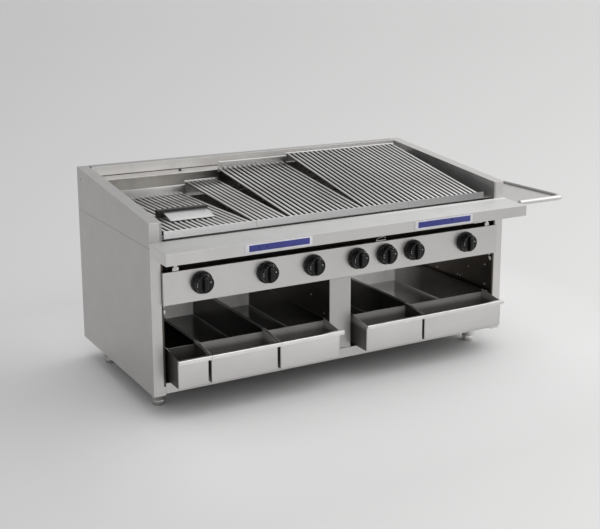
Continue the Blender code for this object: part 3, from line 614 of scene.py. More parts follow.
def placed(position, direction):
    """Matrix that puts a part drawn along +Z at position, facing direction."""
    turn = Vector((0, 0, 1)).rotation_difference(Vector(direction))
    return Matrix.Translation(Vector(position)) @ turn.to_matrix().to_4x4()


def screw(shape, position, direction, radius, height):
    """Hexagon head with a washer face."""
    part = bmesh.new()
    lathe(part, ((0, 0.0), (radius * 1.35, 0.0), (radius * 1.35, height * 0.18),
                 (radius * 1.22, height * 0.30), (0, height * 0.30)), 20, "Z")
    head = bmesh.new()
    lathe(head, ((0, height * 0.28), (radius * 0.98, height * 0.28),
                 (radius * 0.98, height * 0.86), (radius * 0.80, height),
                 (radius * 0.35, height), (radius * 0.30, height * 0.88),
                 (0, height * 0.88)), 6, "Z")
    join(part, head)
    join(shape, part, matrix=placed(position, direction))


def rivet(shape, position, direction, radius, height, slot=0):
    """Low domed head."""
    part = bmesh.new()
    angles = [math.pi / 2 * k / 6 for k in range(1, 6)]
    dome = [(radius * math.cos(a), height * math.sin(a)) for a in angles]
    lathe(part, [(0, 0.0), (radius, 0.0), *dome, (0, height)], 18, "Z")
    join(shape, part, slot, placed(position, direction))


def piece(name, shape, looks=("screw",), body="cabinet",
          stands_for=(), sharp=32.0, local=None):
    """One visible piece, drawn in cabinet coordinates unless local gives the
    matrix that puts it there.  sharp is the crease angle in degrees."""
    if local is not None:
        shape.transform(local)
    shape.transform(Matrix.Translation(at(0.0, 0.0, 0.0)))
    bmesh.ops.recalc_face_normals(shape, faces=shape.faces)
    for face in shape.faces:
        face.smooth = True
    mesh = bpy.data.meshes.new(name)
    shape.to_mesh(mesh)
    shape.free()
    mesh.set_sharp_from_angle(angle=math.radians(sharp))
    for look in looks:
        mesh.materials.append(FINISHES[look].material)
    obj = bpy.data.objects.new(name, mesh)
    bpy.context.scene.collection.objects.link(obj)
    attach(obj, body)
    if stands_for:
        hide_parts(*stands_for)


# --------------------------------------------------- CAD pieces that stay
def dress(node, look, bevel):
    """Merges a CAD node's coplanar triangles, rounds its edges and puts on
    its finish."""
    obj = NODES[node]
    obj.data.materials.clear()
    obj.data.materials.append(FINISHES[look].material)
    weld = obj.modifiers.new("weld", "WELD")
    weld.merge_threshold = 0.00001
    flat = obj.modifiers.new("flat", "DECIMATE")
    flat.decimate_type = "DISSOLVE"
    flat.angle_limit = math.radians(0.6)
    if bevel > 0:
        edges = obj.modifiers.new("edges", "BEVEL")
        edges.limit_method = "ANGLE"
        edges.angle_limit = math.radians(30)
        edges.width = bevel
        edges.segments = 2
        edges.use_clamp_overlap = True
        edges.harden_normals = False
        for polygon in obj.data.polygons:
            polygon.use_smooth = True
        normals = obj.modifiers.new("normals", "WEIGHTED_NORMAL")
        normals.keep_sharp = False
        normals.weight = 100


# node, finish, edge rounding
DRESSED = (
    ("side_panel_left", "side", 0.0007), ("side_panel_right", "side", 0.0007),
    ("upper_side_left", "side", 0.0009), ("upper_side_right", "side", 0.0009),
    ("back_panel", "front", 0.0007), ("bottom_rail", "front", 0.0006),
    ("centre_column", "post", 0.0006), ("control_panel", "front", 0.0007),
    ("front_shelf", "front", 0.0009), ("base_tray", "liner", 0.0005),
    ("firebox_front", "firebox", 0.0005), ("rear_ladder", "firebox", 0.0006),
    ("front_grate_bar", "bar", 0.00028),
)
for node, look, bevel in DRESSED:
    dress(node, look, bevel)
for number in range(1, len(VALVE_X) + 1):
    dress("valve_%d" % number, "brass", 0.0)
    dress("radiant_%d" % number, "radiant", 0.0007)

# -------------------------------------------------------------- water pans
# name, then X of: face left, face right, lip left, lip right
PANS = (
    ("pan_1", 0.0480, 0.1390, 0.0465, 0.1472),
    ("pan_2", 0.1477, 0.3560, 0.1480, 0.3645),
    ("pan_3", 0.3650, 0.5645, 0.3653, 0.5755),
    ("pan_4", 0.6590, 0.8640, 0.6575, 0.8715),
    ("pan_5", 0.8720, 1.1710, 0.8720, 1.1800),
)
PAN_FRONT, PAN_BACK = -0.0611, 0.5430
PAN_FLOOR, PAN_LIP, PAN_RIM = 0.0996, 0.1820, 0.1950
PAN_SHEET = 0.0015
BAFFLE_Y = 0.0300
MIN_LIP = 0.0012                  # narrower lip ends are left out


def lip(shape, left, right, back):
    """Length of the lip folded out and down along the top of the face."""
    prism(shape, ((back, PAN_LIP), (-0.0688, PAN_LIP), (-0.0700, PAN_LIP - 0.0012),
                  (-0.0700, 0.1701), (-0.0690, 0.1701), (-0.0686, 0.1800),
                  (back, 0.1806)), (left, right), "X", 0.0003, 1)


def pan(name, left, right, lip_left, lip_right):
    shape = bmesh.new()
    inner_front = PAN_FRONT + PAN_SHEET
    box(shape, (left, right), (PAN_FRONT, PAN_BACK),
        (PAN_FLOOR, PAN_FLOOR + PAN_SHEET), 0.0004)
    box(shape, (left, right), (PAN_FRONT, inner_front),
        (PAN_FLOOR, PAN_LIP - 0.0004), 0.0005)
    lip(shape, max(left, lip_left), right, inner_front)
    for start, end in ((lip_left, left), (right, lip_right)):
        if end - start > MIN_LIP:
            lip(shape, start, end, PAN_FRONT - 0.0006)
    # side walls rise from the face to the baffle, then run level to the back;
    # each has a hem, except the right wall of pan_3
    for wall, edge, hem in (
            (left, left, (left - 0.0033, left + 0.0008)),
            (right - PAN_SHEET, right, (right - 0.0008, right + 0.0033))):
        prism(shape, ((PAN_FRONT, PAN_FLOOR), (PAN_FRONT, PAN_LIP - 0.0006),
                      (BAFFLE_Y, PAN_RIM), (PAN_BACK, PAN_RIM),
                      (PAN_BACK, PAN_FLOOR)), (wall, wall + PAN_SHEET), "X", 0.0004, 1)
        if name == "pan_3" and edge == right:
            continue
        box(shape, hem, (0.0085, PAN_BACK), (PAN_RIM - 0.0014, PAN_RIM), 0.0005)
    box(shape, (left, right), (PAN_BACK - PAN_SHEET, PAN_BACK),
        (PAN_FLOOR, PAN_RIM), 0.0004, 1)
    # baffle with a small turned-over edge
    box(shape, (left + 0.0002, right - 0.0002), (BAFFLE_Y, 0.0315),
        (PAN_FLOOR, 0.1860), 0.0004, 1)
    box(shape, (left + 0.0012, right - 0.0012), (BAFFLE_Y, 0.0350),
        (0.1852, 0.1865), 0.0005)
    piece(name + "_sheet", shape, ("pan",), name, (name,), sharp=28.0)


for row in PANS:
    pan(*row)

# ------------------------------------------------------------------ grates
ROD_R = 0.0095 / 2
GRATE_Y, GRATE_Z = 0.0185, 0.5241  # front crossbar, about which a grate tilts
LEDGE_LOW, LEDGE_HIGH = 0.5170, 0.5905
ROD_START = -0.0090
CROSSBAR_BOTTOM = -ROD_R - 0.0067
# Rear plates, in the tilted frame: ledge height, lower edge (measured from
# the rods, or from the ledge when there are no tabs), upper edge, and the
# depth and ledge clearance of the two tabs
REAR_PLATES = {
    "upstand_low": (LEDGE_LOW, -ROD_R - 0.002, 0.0330, (0.0090, 0.0002)),
    "foot_low": (LEDGE_LOW, 0.0002, ROD_R + 0.0020, None),
    "upstand_high": (LEDGE_HIGH, -ROD_R - 0.001, ROD_R + 0.0240, (0.0100, 0.0024)),
    "foot_high": (LEDGE_HIGH, 0.0004, ROD_R + 0.0005, None),
}
# name, X of the first rod, rod pitch, rod count, top of the rods at the rear,
# Y of the rear plate, kind of rear plate
GRATES = (
    ("grate_1", 0.0539, 0.01680, 16, 0.5265, 0.4800, "upstand_low"),
    ("grate_2", 0.3259, 0.01645, 7, 0.5630, 0.4910, "foot_low"),
    ("grate_3", 0.4470, 0.01800, 14, 0.5920, 0.4910, "upstand_high"),
    ("grate_4", 0.7005, 0.01790, 8, 0.6220, 0.4965, "foot_high"),
    ("grate_5", 0.8452, 0.01835, 16, 0.6220, 0.4965, "foot_high"),
)


def weld_beads(shape, rods, y):
    """A bead on each side of every rod, but not outside the end rods."""
    for k, x in enumerate(rods):
        for side in (-1, 1):
            if (k, side) in ((0, -1), (len(rods) - 1, 1)):
                continue
            bead = bmesh.new()
            bmesh.ops.create_icosphere(bead, subdivisions=1, radius=0.0026)
            for vert in bead.verts:
                vert.co.y *= 1.25
            join(shape, bead, 2,
                 Matrix.Translation((x + side * 0.0028, y, -ROD_R + 0.0008)))


def grate(name, first, pitch, count, top, plate_y, kind):
    """Drawn flat with its front crossbar on X, then tilted."""
    ledge, plate_low, plate_high, tab = REAR_PLATES[kind]
    tilt = math.atan2(top - ROD_R - GRATE_Z, plate_y - GRATE_Y)
    length = (plate_y - GRATE_Y) / math.cos(tilt)
    width = pitch * (count - 1) + 2 * ROD_R
    drop = (ledge + 0.0005 - (top - ROD_R)) / math.cos(tilt)
    rods = [pitch * k + ROD_R for k in range(count)]
    shape = bmesh.new()
    for x in rods:
        stations = (ROD_START, length * 0.25, length * 0.5, length * 0.75, length)
        tube(shape, [(x, y, 0) for y in stations], ROD_R, 14, cap=0.0012)
    # the middle crossbars and their weld beads take the dark liner finish as painted
    # shade under the rods
    for y, depth in ((0.0, 0.010), (length * 0.36, 0.008), (length * 0.70, 0.008)):
        box(shape, (0.0004, width - 0.0004), (y - depth / 2, y + depth / 2),
            (CROSSBAR_BOTTOM, -ROD_R + 0.0012), 0.0008, slot=0 if y == 0 else 2)
        if y > 0:
            weld_beads(shape, rods, y)
    plate_back = length + 0.005
    if tab is None:
        plate_low += drop
    box(shape, (-0.0045, width + 0.0045), (length, plate_back),
        (plate_low, plate_high), 0.0011, 3, 1)
    if tab is not None:
        depth, clearance = tab
        for x in (0.02, width - 0.04):
            box(shape, (x, x + 0.020), (plate_back - 0.001, plate_back + depth),
                (drop + clearance, drop + 0.0100), 0.0008, slot=1)
    local = (Matrix.Translation(Vector((first - ROD_R, GRATE_Y, GRATE_Z)))
             @ Matrix.Rotation(tilt, 4, "X"))
    piece(name + "_rods", shape, ("rod", "plate", "liner"), name,
          (name,), local=local)


for row in GRATES:
    grate(*row)

# ----------------------------------------------------------------- scraper
SCRAPER_Z = 0.5288
shape = bmesh.new()
box(shape, (0.0930, 0.2520), (0.1700, 0.1870), (SCRAPER_Z, 0.5515), 0.0022, 3)
prism(shape, ((0.1100, SCRAPER_Z), (0.1716, SCRAPER_Z), (0.1716, 0.5438),
              (0.1690, 0.5440), (0.1100, 0.5318)), (0.1110, 0.2460), "X",
      0.0006, slot=1)
piece("scraper_body", shape, ("dark_bar", "blade"), "scraper",
      ("scraper",))

# ------------------------------------------------------------------- knobs
KNOB_R = 0.0322
KNOB_BACK, SKIRT_FRONT = -0.0140, -0.0205
KNOB_FACE, GRIP_FRONT = -0.0385, -0.0490
STEM_R, STEM_END = 0.0044, -0.0386
GRIP_HALF = 0.0243                # half the length of the grip bar
GRIP_ROWS, GRIP_COLUMNS = 16, 8
FLUTES, FLUTE_DEPTH = 15, 0.028
MARKS, MARK_START, MARK_STEP, MARK_R = 11, 188, 15.0, 0.0238
MARK_MISSING, MARKS_BIG = 4, (0, 1, 6, 7, 8)
# radius, Y
KNOB_PROFILE = (
    (0.0, STEM_END), (STEM_R, STEM_END), (STEM_R, KNOB_BACK), (0.0290, KNOB_BACK),
    (0.0300, KNOB_BACK - 0.0002), (KNOB_R - 0.0004, KNOB_BACK - 0.0004),
    (KNOB_R, KNOB_BACK - 0.0010), (KNOB_R, SKIRT_FRONT + 0.0022),
    (KNOB_R - 0.0006, SKIRT_FRONT + 0.0008), (KNOB_R - 0.0016, SKIRT_FRONT + 0.0001),
    (KNOB_R - 0.0024, SKIRT_FRONT), (0.0290, SKIRT_FRONT),
    (0.0286, SKIRT_FRONT - 0.0006), (0.0280, SKIRT_FRONT - 0.0040),
    (0.0276, KNOB_FACE + 0.0060), (0.0272, KNOB_FACE + 0.0028),
    (0.0266, KNOB_FACE + 0.0011), (0.0254, KNOB_FACE + 0.0002),
    (0.0240, KNOB_FACE), (0.0150, KNOB_FACE + 0.0003), (0.0, KNOB_FACE + 0.0005),
)


def flute(shape, knob_x):
    """Presses shallow grip flutes round the knob's body."""
    for vert in shape.verts:
        x, z = vert.co.x - knob_x, vert.co.z - VALVE_Z
        on_body = KNOB_FACE + 0.0020 < vert.co.y < SKIRT_FRONT - 0.0003
        if on_body and 0.0268 < math.hypot(x, z) < 0.0289:
            wave = 0.5 + 0.5 * math.cos(FLUTES * math.atan2(z, x))
            shrink = 1.0 - FLUTE_DEPTH * wave ** 2
            vert.co.x, vert.co.z = knob_x + x * shrink, VALVE_Z + z * shrink


def grip_bar(shape, knob_x):
    """Waisted block with a crowned face, upright across the knob."""
    part = bmesh.new()
    rows = []
    for row in range(GRIP_ROWS + 1):
        z = -GRIP_HALF + 2 * GRIP_HALF * row / GRIP_ROWS
        reach = abs(z) / GRIP_HALF
        half_width = (0.0068 * math.sqrt(max(0.0, 1 - (reach ** 6) * 0.55))
                      - 0.0010 * math.cos(z / GRIP_HALF * math.pi / 2))
        front = GRIP_FRONT + 0.0058 * reach ** 4 + 0.0002
        foot_y, foot_z = KNOB_FACE + 0.0030, VALVE_Z + z * 0.985
        ring = [(knob_x - half_width * 1.14, foot_y, foot_z)]
        for column in range(GRIP_COLUMNS + 1):
            u = -1 + 2 * column / GRIP_COLUMNS
            ring.append((knob_x + half_width * u, front + 0.0016 * abs(u) ** 3,
                         VALVE_Z + z))
        ring.append((knob_x + half_width * 1.14, foot_y, foot_z))
        rows.append([part.verts.new(point) for point in ring])
    for lower, upper in zip(rows, rows[1:]):
        for k in range(len(lower)):
            after = (k + 1) % len(lower)
            part.faces.new((lower[k], upper[k], upper[after], lower[after]))
    part.faces.new(rows[0])
    part.faces.new(list(reversed(rows[-1])))
    join(shape, part)


def knob_marks(shape, knob_x):
    """Raised scale marks round the edge of the face, and a dot."""
    for k in range(MARKS):
        if k == MARK_MISSING:
            continue
        angle = math.radians(MARK_START - k * MARK_STEP)
        matrix = (Matrix.Translation((knob_x + MARK_R * math.cos(angle), KNOB_FACE,
                                      VALVE_Z + MARK_R * math.sin(angle)))
                  @ Matrix.Rotation(-angle, 4, "Y"))
        half_x, half_z = (0.0012, 0.0013) if k in MARKS_BIG else (0.0007, 0.0004)
        box(shape, (-half_x, half_x), (-0.0003, 0.0006), (-half_z, half_z),
            0.0002, 1, 1, matrix)
    dot = bmesh.new()
    lathe(dot, ((0, 0.0006), (0.0020, 0.0006), (0.0020, -0.0002),
                (0.0016, -0.0005), (0, -0.0006)), 18, "Y")
    join(shape, dot, 1,
         Matrix.Translation((knob_x + 0.0165, KNOB_FACE, VALVE_Z + 0.0040)))


for number, x in enumerate(VALVE_X, 1):
    shape = bmesh.new()
    lathe(shape, KNOB_PROFILE, 90, "Y", (x, 0.0, VALVE_Z))
    flute(shape, x)
    grip_bar(shape, x)
    knob_marks(shape, x)
    piece("knob_%d_moulding" % number, shape, ("knob", "mark"), "knob_%d" % number,
          ("knob_%d" % number,), sharp=40.0)

# -------------------------------------------------------------------- legs
LEG_R, LEG_TOP = 0.0200, 0.0637
# radius, Z: a foot with a groove above it, then the plain tube
LEG_PROFILE = (
    (0, 0.0), (LEG_R - 0.0040, 0.0), (LEG_R - 0.0022, 0.0010),
    (LEG_R - 0.0010, 0.0030), (LEG_R - 0.0010, 0.0150), (LEG_R - 0.0014, 0.0158),
    (LEG_R - 0.0014, 0.0168), (LEG_R - 0.0004, 0.0176), (LEG_R, 0.0186),
    (LEG_R, 0.0560), (LEG_R, LEG_TOP), (0, LEG_TOP),
)
for row, y in (("front", 0.1010), ("rear", 0.5010)):
    for side, x in (("left", 0.0520), ("right", WIDTH - 0.0470)):
        name = "leg_%s_%s" % (row, side)
        shape = bmesh.new()
        lathe(shape, LEG_PROFILE, 48, "Z", (x, y, 0))
        piece(name + "_tube", shape, ("leg",), stands_for=(name,))

# -------------------------------------------------------------- side shelf
SHELF_LEFT, SHELF_RIGHT = WIDTH + 0.0003, 1.3940
SHELF_FRONT, SHELF_BACK = -0.0795, 0.4000
SHELF_BOTTOM, SHELF_TOP = 0.4990, 0.5010
SHELF_MID = (SHELF_BOTTOM + SHELF_TOP) / 2
FLANGE = 0.002                    # thickness of the wall flange under the shelf


def side_shelf():
    shape = bmesh.new()
    box(shape, (SHELF_LEFT, SHELF_RIGHT - 0.001),
        (SHELF_FRONT + 0.001, SHELF_BACK - 0.001), (SHELF_BOTTOM, SHELF_TOP),
        0.0003, 1)
    # round bar along the three free edges
    rim = [(SHELF_LEFT + 0.0002, SHELF_FRONT, SHELF_MID),
           (SHELF_RIGHT, SHELF_FRONT, SHELF_MID),
           (SHELF_RIGHT, SHELF_BACK, SHELF_MID),
           (SHELF_LEFT + 0.0002, SHELF_BACK, SHELF_MID)]
    tube(shape, rounded(rim, 0.0095, 7), 0.0080, 24)
    box(shape, (SHELF_LEFT, SHELF_LEFT + FLANGE), (SHELF_FRONT + 0.0900, SHELF_BACK),
        (0.4400, SHELF_BOTTOM + 0.0005), 0.0005)
    # gussets
    wall, tip = SHELF_LEFT + 0.0010, SHELF_LEFT + 0.1300
    top = SHELF_BOTTOM + 0.0003
    for y in (0.0600, 0.3300):
        prism(shape, ((wall, top), (wall, 0.4450), (SHELF_LEFT + 0.0120, 0.4450),
                      (tip, SHELF_BOTTOM - 0.0060), (tip, top)),
              (y, y + 0.0025), "Y", 0.0004, 1)
    piece("side_shelf_sheet", shape, ("top",), stands_for=("side_shelf",))

    shape = bmesh.new()
    for y in (0.0350, 0.1950, 0.3750):
        screw(shape, (SHELF_LEFT + FLANGE, y, 0.4520), (1, 0, 0), 0.0040, 0.0030)
    piece("side_shelf_screws", shape)


side_shelf()

# --------------------------------------------------------------- gas train
PIPE_R, PIPE_Y = 0.01335, 0.0180
PIPE_Z = VALVE_Z - 0.0123 - PIPE_R
PIPE_TURN_X = WIDTH - 0.0190      # where the pipe turns to the back
THREADS, THREAD_START, THREAD_PITCH = 8, 0.6020, 0.0015

shape = bmesh.new()
tube(shape, rounded([(0.0600, PIPE_Y, PIPE_Z), (PIPE_TURN_X, PIPE_Y, PIPE_Z),
                     (PIPE_TURN_X, 0.6150, PIPE_Z)], 0.0200, 8),
     PIPE_R, 32, cap=0.0010)
for k in range(THREADS):
    y = THREAD_START + k * THREAD_PITCH
    ridge = bmesh.new()
    lathe(ridge, ((0, y - 0.0007), (PIPE_R - 0.0006, y - 0.0007),
                  (PIPE_R + 0.0002, y), (PIPE_R - 0.0006, y + 0.0007),
                  (0, y + 0.0007)), 32, "Y", (PIPE_TURN_X, 0, PIPE_Z))
    join(shape, ridge)
piece("gas_pipe", shape, ("iron",), stands_for=("gas_manifold",))

BURNER_R = 0.0190
# radius, Y
BURNER_PROFILE = (
    (0, 0.0560), (0.0100, 0.0560), (0.0110, 0.0550), (0.0128, 0.0360),
    (0.0134, 0.0346), (0.0150, 0.0346), (0.0154, 0.0352), (0.0155, 0.0600),
    (0.0136, 0.0830), (0.0138, 0.0900), (0.0180, 0.1180),
    (BURNER_R - 0.0001, 0.1270), (BURNER_R - 0.0001, 0.3000),
    (BURNER_R - 0.0001, 0.5440), (BURNER_R - 0.0010, 0.5470),
    (BURNER_R - 0.0035, 0.5479), (0, 0.5479),
)
# radius, height above the seat
PORT_PROFILE = (
    (0, -0.001), (0.0026, -0.001), (0.0026, 0.0004), (0.0019, 0.0009),
    (0.0016, 0.0009), (0.0015, -0.0006), (0, -0.0006),
)
PORTS, PORT_START, PORT_PITCH = 27, 0.1350, 0.0152
PORT_ANGLE = 34                   # degrees from the top to each row of ports

for number, x in enumerate(VALVE_X, 1):
    shape = bmesh.new()
    lathe(shape, BURNER_PROFILE, 40, "Y", (x, 0, VALVE_Z))
    for side in (-1, 1):
        angle = math.radians(90 + side * PORT_ANGLE)
        outward = Vector((math.cos(angle), 0, math.sin(angle)))
        for k in range(PORTS):
            port = bmesh.new()
            lathe(port, PORT_PROFILE, 10, "Z")
            seat = (Vector((x, PORT_START + k * PORT_PITCH, VALVE_Z))
                    + outward * (BURNER_R - 0.0009))
            join(shape, port, matrix=placed(seat, outward))
    piece("burner_%d_tube" % number, shape, ("iron",),
          stands_for=("burner_%d" % number,))

# -------------------------------------------------------------- nameplates
PLATE_BOTTOM, PLATE_TOP = 0.4700, 0.4955
PLATE_BACK = -0.1143
PLATE_FRONT = PLATE_BACK - 0.0012
for name, left, right in (("nameplate_left", 0.2297, 0.4395),
                          ("nameplate_right", 0.7902, 1.0045)):
    shape = bmesh.new()
    box(shape, (left, right), (PLATE_FRONT + 0.0003, PLATE_BACK),
        (PLATE_BOTTOM, PLATE_TOP), 0.0003)
    box(shape, (left + 0.0120, right - 0.0085), (PLATE_FRONT, PLATE_BACK - 0.0004),
        (PLATE_BOTTOM + 0.0040, PLATE_TOP - 0.0036), 0.0002, slot=1)
    for x in (left + 0.0060, right - 0.0045):
        rivet(shape, (x, PLATE_FRONT + 0.0004, (PLATE_BOTTOM + PLATE_TOP) / 2),
              (0, -1, 0), 0.0021, 0.0004, slot=2)
    piece(name + "_enamel", shape, ("border", "blue", "screw"),
          stands_for=(name,))

# ---------------------------------------------------------- small ironmongery
# Domed heads on the right wall of each bay: name, X of the wall, (Y, Z) of each
BAY_HEADS = (
    ("screws_bay_right", WIDTH - LINER,
     ((0.293, 0.205), (0.298, 0.178), (0.178, 0.208), (0.164, 0.207),
      (0.171, 0.181), (0.121, 0.249), (0.036, 0.276), (0.036, 0.2095),
      (0.036, 0.184))),
    ("screws_bay_left", 0.5660,
     ((0.109, 0.248), (0.155, 0.182), (0.034, 0.208), (0.034, 0.183))),
)
for name, x, places in BAY_HEADS:
    shape = bmesh.new()
    for y, z in places:
        rivet(shape, (x, y, z), (-1, 0, 0), 0.0030, 0.0016)
    piece(name, shape)


def shelf_brackets():
    """Brackets and clips in the slot under the front shelf."""
    shape = bmesh.new()
    # an angle, an upright strip and a screw near each end
    for left, right in ((0.0606, 0.0790), (WIDTH - 0.0790, WIDTH - 0.0630)):
        box(shape, (left, right), (-0.0098, -0.0084), (0.4196, 0.4300), 0.0004)
        box(shape, (left, right), (-0.0096, -0.0010), (0.4196, 0.4212), 0.0004)
        box(shape, (left + 0.004, right - 0.004), (-0.0098, -0.0088),
            (0.4290, 0.4640), 0.0003)
        screw(shape, ((left + right) / 2, -0.0098, 0.4262), (0, -1, 0), 0.0028, 0.0018)
    # a wider angle towards the right
    box(shape, (1.0955, 1.1297), (-0.0100, -0.0030), (0.4330, 0.4346), 0.0005)
    box(shape, (1.0955, 1.1297), (-0.0044, -0.0030), (0.4330, 0.4640), 0.0005)
    # an arched wire on a flat strip, right of the middle
    arch = [(0.7270, -0.0050, 0.4215), (0.7290, -0.0052, 0.4262),
            (0.7360, -0.0054, 0.4300), (0.7500, -0.0054, 0.4318),
            (0.7580, -0.0052, 0.4300), (0.7600, -0.0050, 0.4262)]
    tube(shape, rounded(arch, 0.004, 4), 0.0011, 10)
    box(shape, (0.7255, 0.7615), (-0.0058, -0.0042), (0.4195, 0.4222), 0.0004)
    piece("shelf_brackets", shape)


def panel_clips():
    """Two small angles, one above the other, on each outer bay wall."""
    shape = bmesh.new()
    for inward, wall in ((1, LINER), (-1, WIDTH - LINER)):
        for bottom, top, back in ((0.2985, 0.3090, 0.0), (0.3130, 0.3215, 0.006)):
            for reach, front, depth in ((0.0062, 0.0045, 0.0060),
                                        (0.0018, 0.0045, 0.0170)):
                x = sorted((wall + inward * 0.0004, wall + inward * reach))
                box(shape, x, (front + back, depth + back), (bottom, top), 0.0004)
    piece("panel_clips", shape)


shelf_brackets()
panel_clips()

# dark discs at the rear top of both sides, and a dark screw on the rear ledge
shape = bmesh.new()
rivet(shape, (0.0000, 0.5673, 0.5862), (-1, 0, 0), 0.0030, 0.0002)
screw(shape, (0.3217, 0.5345, 0.5905), (0, 0, 1), 0.0046, 0.0048)
rivet(shape, (WIDTH, 0.5673, 0.5862), (1, 0, 0), 0.0030, 0.0002)
piece("punched_holes", shape, ("hole",))

# painted shadow in the gap where the turned-down rear rail meets the grate ledge
RAIL_FRONT = 0.5668
shape = bmesh.new()
box(shape, (0.0375, WIDTH - 0.0375), (RAIL_FRONT - 0.0016, RAIL_FRONT - 0.0004),
    (0.5907, 0.5922), 0.0002, 1)
piece("rear_ledge_gap_shadow", shape, ("hole",))

# screws in the back: rows along its foot and top, pairs up its sides
BACK_SCREWS = [(x, z) for x in (0.055, 0.330, 0.6096, 0.889, WIDTH - 0.055)
               for z in (0.0780, 0.4700)]
BACK_SCREWS += [(x, z) for z in (0.190, 0.290) for x in (0.014, WIDTH - 0.014)]
shape = bmesh.new()
for x, z in BACK_SCREWS:
    screw(shape, (x, DEPTH, z), (0, 1, 0), 0.0036, 0.0026)
piece("screws_back", shape)


# ------------------------------------------------------------------- stage
def floor_material():
    """Matt paper with painted light and shade: darker to the left of the view and far
    off, and lighter around the object where its shadow falls.
    """
    paper = Finish("stage_paper")
    coords = paper.coordinates()["Object"]
    fine = paper.noise(coords, 60.0, detail=4.0, roughness=0.6)
    broad = paper.noise(coords, 0.6, detail=2.0)
    window = paper.split(paper.coordinates()["Window"])
    # painted light and shade: darker to the left of the view, and darker far off
    across = paper.remap(window["X"], (0.0, 1.0))
    tone = paper.mix(across, (0.535, 0.535, 0.535), (0.685, 0.685, 0.68))
    far = paper.remap(window["Y"], (0.45, 0.95), (0.0, 0.16))
    tone = paper.mix(far, tone, (0.05, 0.05, 0.05))
    tone = paper.mix(paper.remap(fine, target=(0.0, 0.04)), tone, (0.50, 0.50, 0.50))
    tone = paper.mix(paper.remap(broad, target=(0.0, 0.04)), tone, (0.62, 0.62, 0.62))
    # distance outside a rectangle about the object, from its half sizes
    place = paper.split(coords)
    squares = []
    for axis, half_size in (("X", 0.70), ("Y", 0.36)):
        outside = paper.math("SUBTRACT", paper.math("ABSOLUTE", place[axis]), half_size)
        outside = paper.math("MAXIMUM", outside, 0.0)
        squares.append(paper.multiply(outside, outside))
    distance = paper.math("SQRT", paper.math("ADD", *squares))
    # painted light: paler near the object, lifting its shadow, but not far to the left
    shadow_lift = paper.multiply(paper.remap(distance, (0.05, 0.55), (0.46, 0.0)),
                          paper.remap(place["X"], (-1.05, -0.65)))
    paper.set("Base Color", paper.mix(shadow_lift, tone, (0.86, 0.86, 0.86)))
    paper.set("Roughness", 0.85)
    paper.set("Specular IOR Level", 0.15)
    return paper.material


FLOOR_HALF = 70
shape = bmesh.new()
for x, y in ((-1, -1), (1, -1), (1, 1), (-1, 1)):
    shape.verts.new((x * FLOOR_HALF, y * FLOOR_HALF, 0.0))
shape.faces.new(shape.verts[:])
mesh = bpy.data.meshes.new("stage_floor")
shape.to_mesh(mesh)
shape.free()
mesh.materials.append(floor_material())
floor = bpy.data.objects.new("stage_floor", mesh)
bpy.context.scene.collection.objects.link(floor)


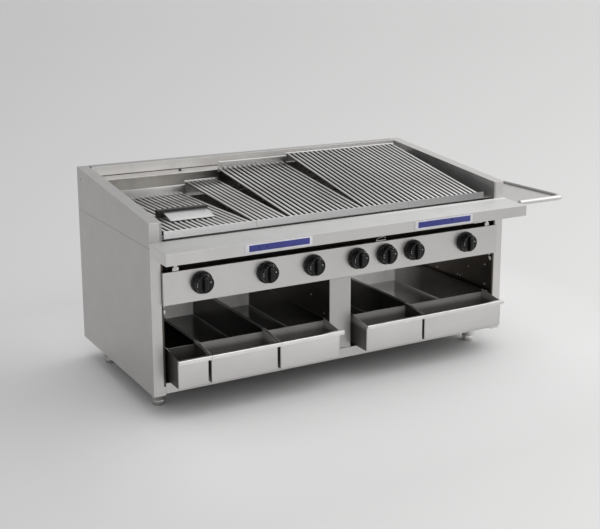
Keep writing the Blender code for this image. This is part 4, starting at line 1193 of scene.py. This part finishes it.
# ------------------------------------------------------------------ lights
def studio_world():
    """An even surround, brighter to the right, with one large soft source
    high on the right and a smaller one on the left."""
    world = bpy.data.worlds.new("studio")
    bpy.context.scene.world = world
    world.use_nodes = True
    sky = Nodes(world.node_tree)
    direction = sky.coordinates()["Generated"]
    parts = sky.split(direction)

    def glow(towards, wide, tight, gain):
        """Soft source, full within tight degrees and gone beyond wide."""
        closeness = sky.dot(direction, Vector(towards).normalized())
        rim, core = math.cos(math.radians(wide)), math.cos(math.radians(tight))
        return sky.remap(closeness, (rim, core), (0.0, gain), "SMOOTHSTEP")

    level = sky.multiply(sky.remap(parts["X"], (-1.0, 1.0), (0.68, 1.10)),
                         sky.remap(parts["Z"], (0.0, 1.0), (0.66, 0.98)))
    level = sky.multiply(level, sky.remap(parts["Y"], (-1.0, 1.0), (1.12, 0.92)))
    level = sky.math("ADD", level,
                     glow((0.55, -0.30, 0.78), wide=60, tight=14, gain=0.95))
    level = sky.math("ADD", level,
                     glow((-0.75, -0.30, 0.60), wide=45, tight=10, gain=0.10))
    background = world.node_tree.nodes["Background"]
    sky.feed(background.inputs["Color"], sky.grey(level))
    background.inputs["Strength"].default_value = 1.0


def bay_light(name, x, power):
    """Small soft light high inside a bay, aimed at its back."""
    light = bpy.data.lights.new(name, "AREA")
    light.shape = "RECTANGLE"
    light.size, light.size_y = 0.44, 0.04
    light.energy = power
    obj = bpy.data.objects.new(name, light)
    bpy.context.scene.collection.objects.link(obj)
    obj.location = at(x, 0.2600, 0.3300)
    aim = Vector((0.0, 1.0, -0.42))
    obj.rotation_euler = aim.to_track_quat("-Z", "Y").to_euler()
    obj.visible_camera = False
    obj.visible_glossy = False


studio_world()
bay_light("light_bay_left", x=0.305, power=0.42)
bay_light("light_bay_right", x=0.905, power=1.15)

# ------------------------------------------------------------------ camera
CAMERA_PLACE = (-1.0168, -2.6173, 1.2016)
# degrees: yaw from +Y towards +X, pitch down, roll about the view
YAW, PITCH, ROLL = (math.radians(a) for a in (29.518, 11.854, -0.162))


def add_camera():
    level_right = Vector((math.cos(YAW), -math.sin(YAW), 0))
    forward = Vector((math.sin(YAW) * math.cos(PITCH),
                      math.cos(YAW) * math.cos(PITCH), -math.sin(PITCH)))
    level_up = level_right.cross(forward)
    right = level_right * math.cos(ROLL) + level_up * math.sin(ROLL)
    up = level_up * math.cos(ROLL) - level_right * math.sin(ROLL)
    turn = Matrix((right, up, -forward)).transposed()
    lens = bpy.data.cameras.new("camera")
    lens.sensor_width = 36.0
    lens.lens = 64.05
    lens.shift_y = -0.1053
    lens.clip_start, lens.clip_end = 0.05, 60.0
    camera = bpy.data.objects.new("camera", lens)
    camera.matrix_world = Matrix.Translation(at(*CAMERA_PLACE)) @ turn.to_4x4()
    bpy.context.scene.collection.objects.link(camera)
    bpy.context.scene.camera = camera


add_camera()

view = bpy.context.scene.view_settings
view.view_transform = "Standard"
view.look = "None"
view.exposure = 0.0
view.gamma = 1.0

bpy.context.view_layer.update()
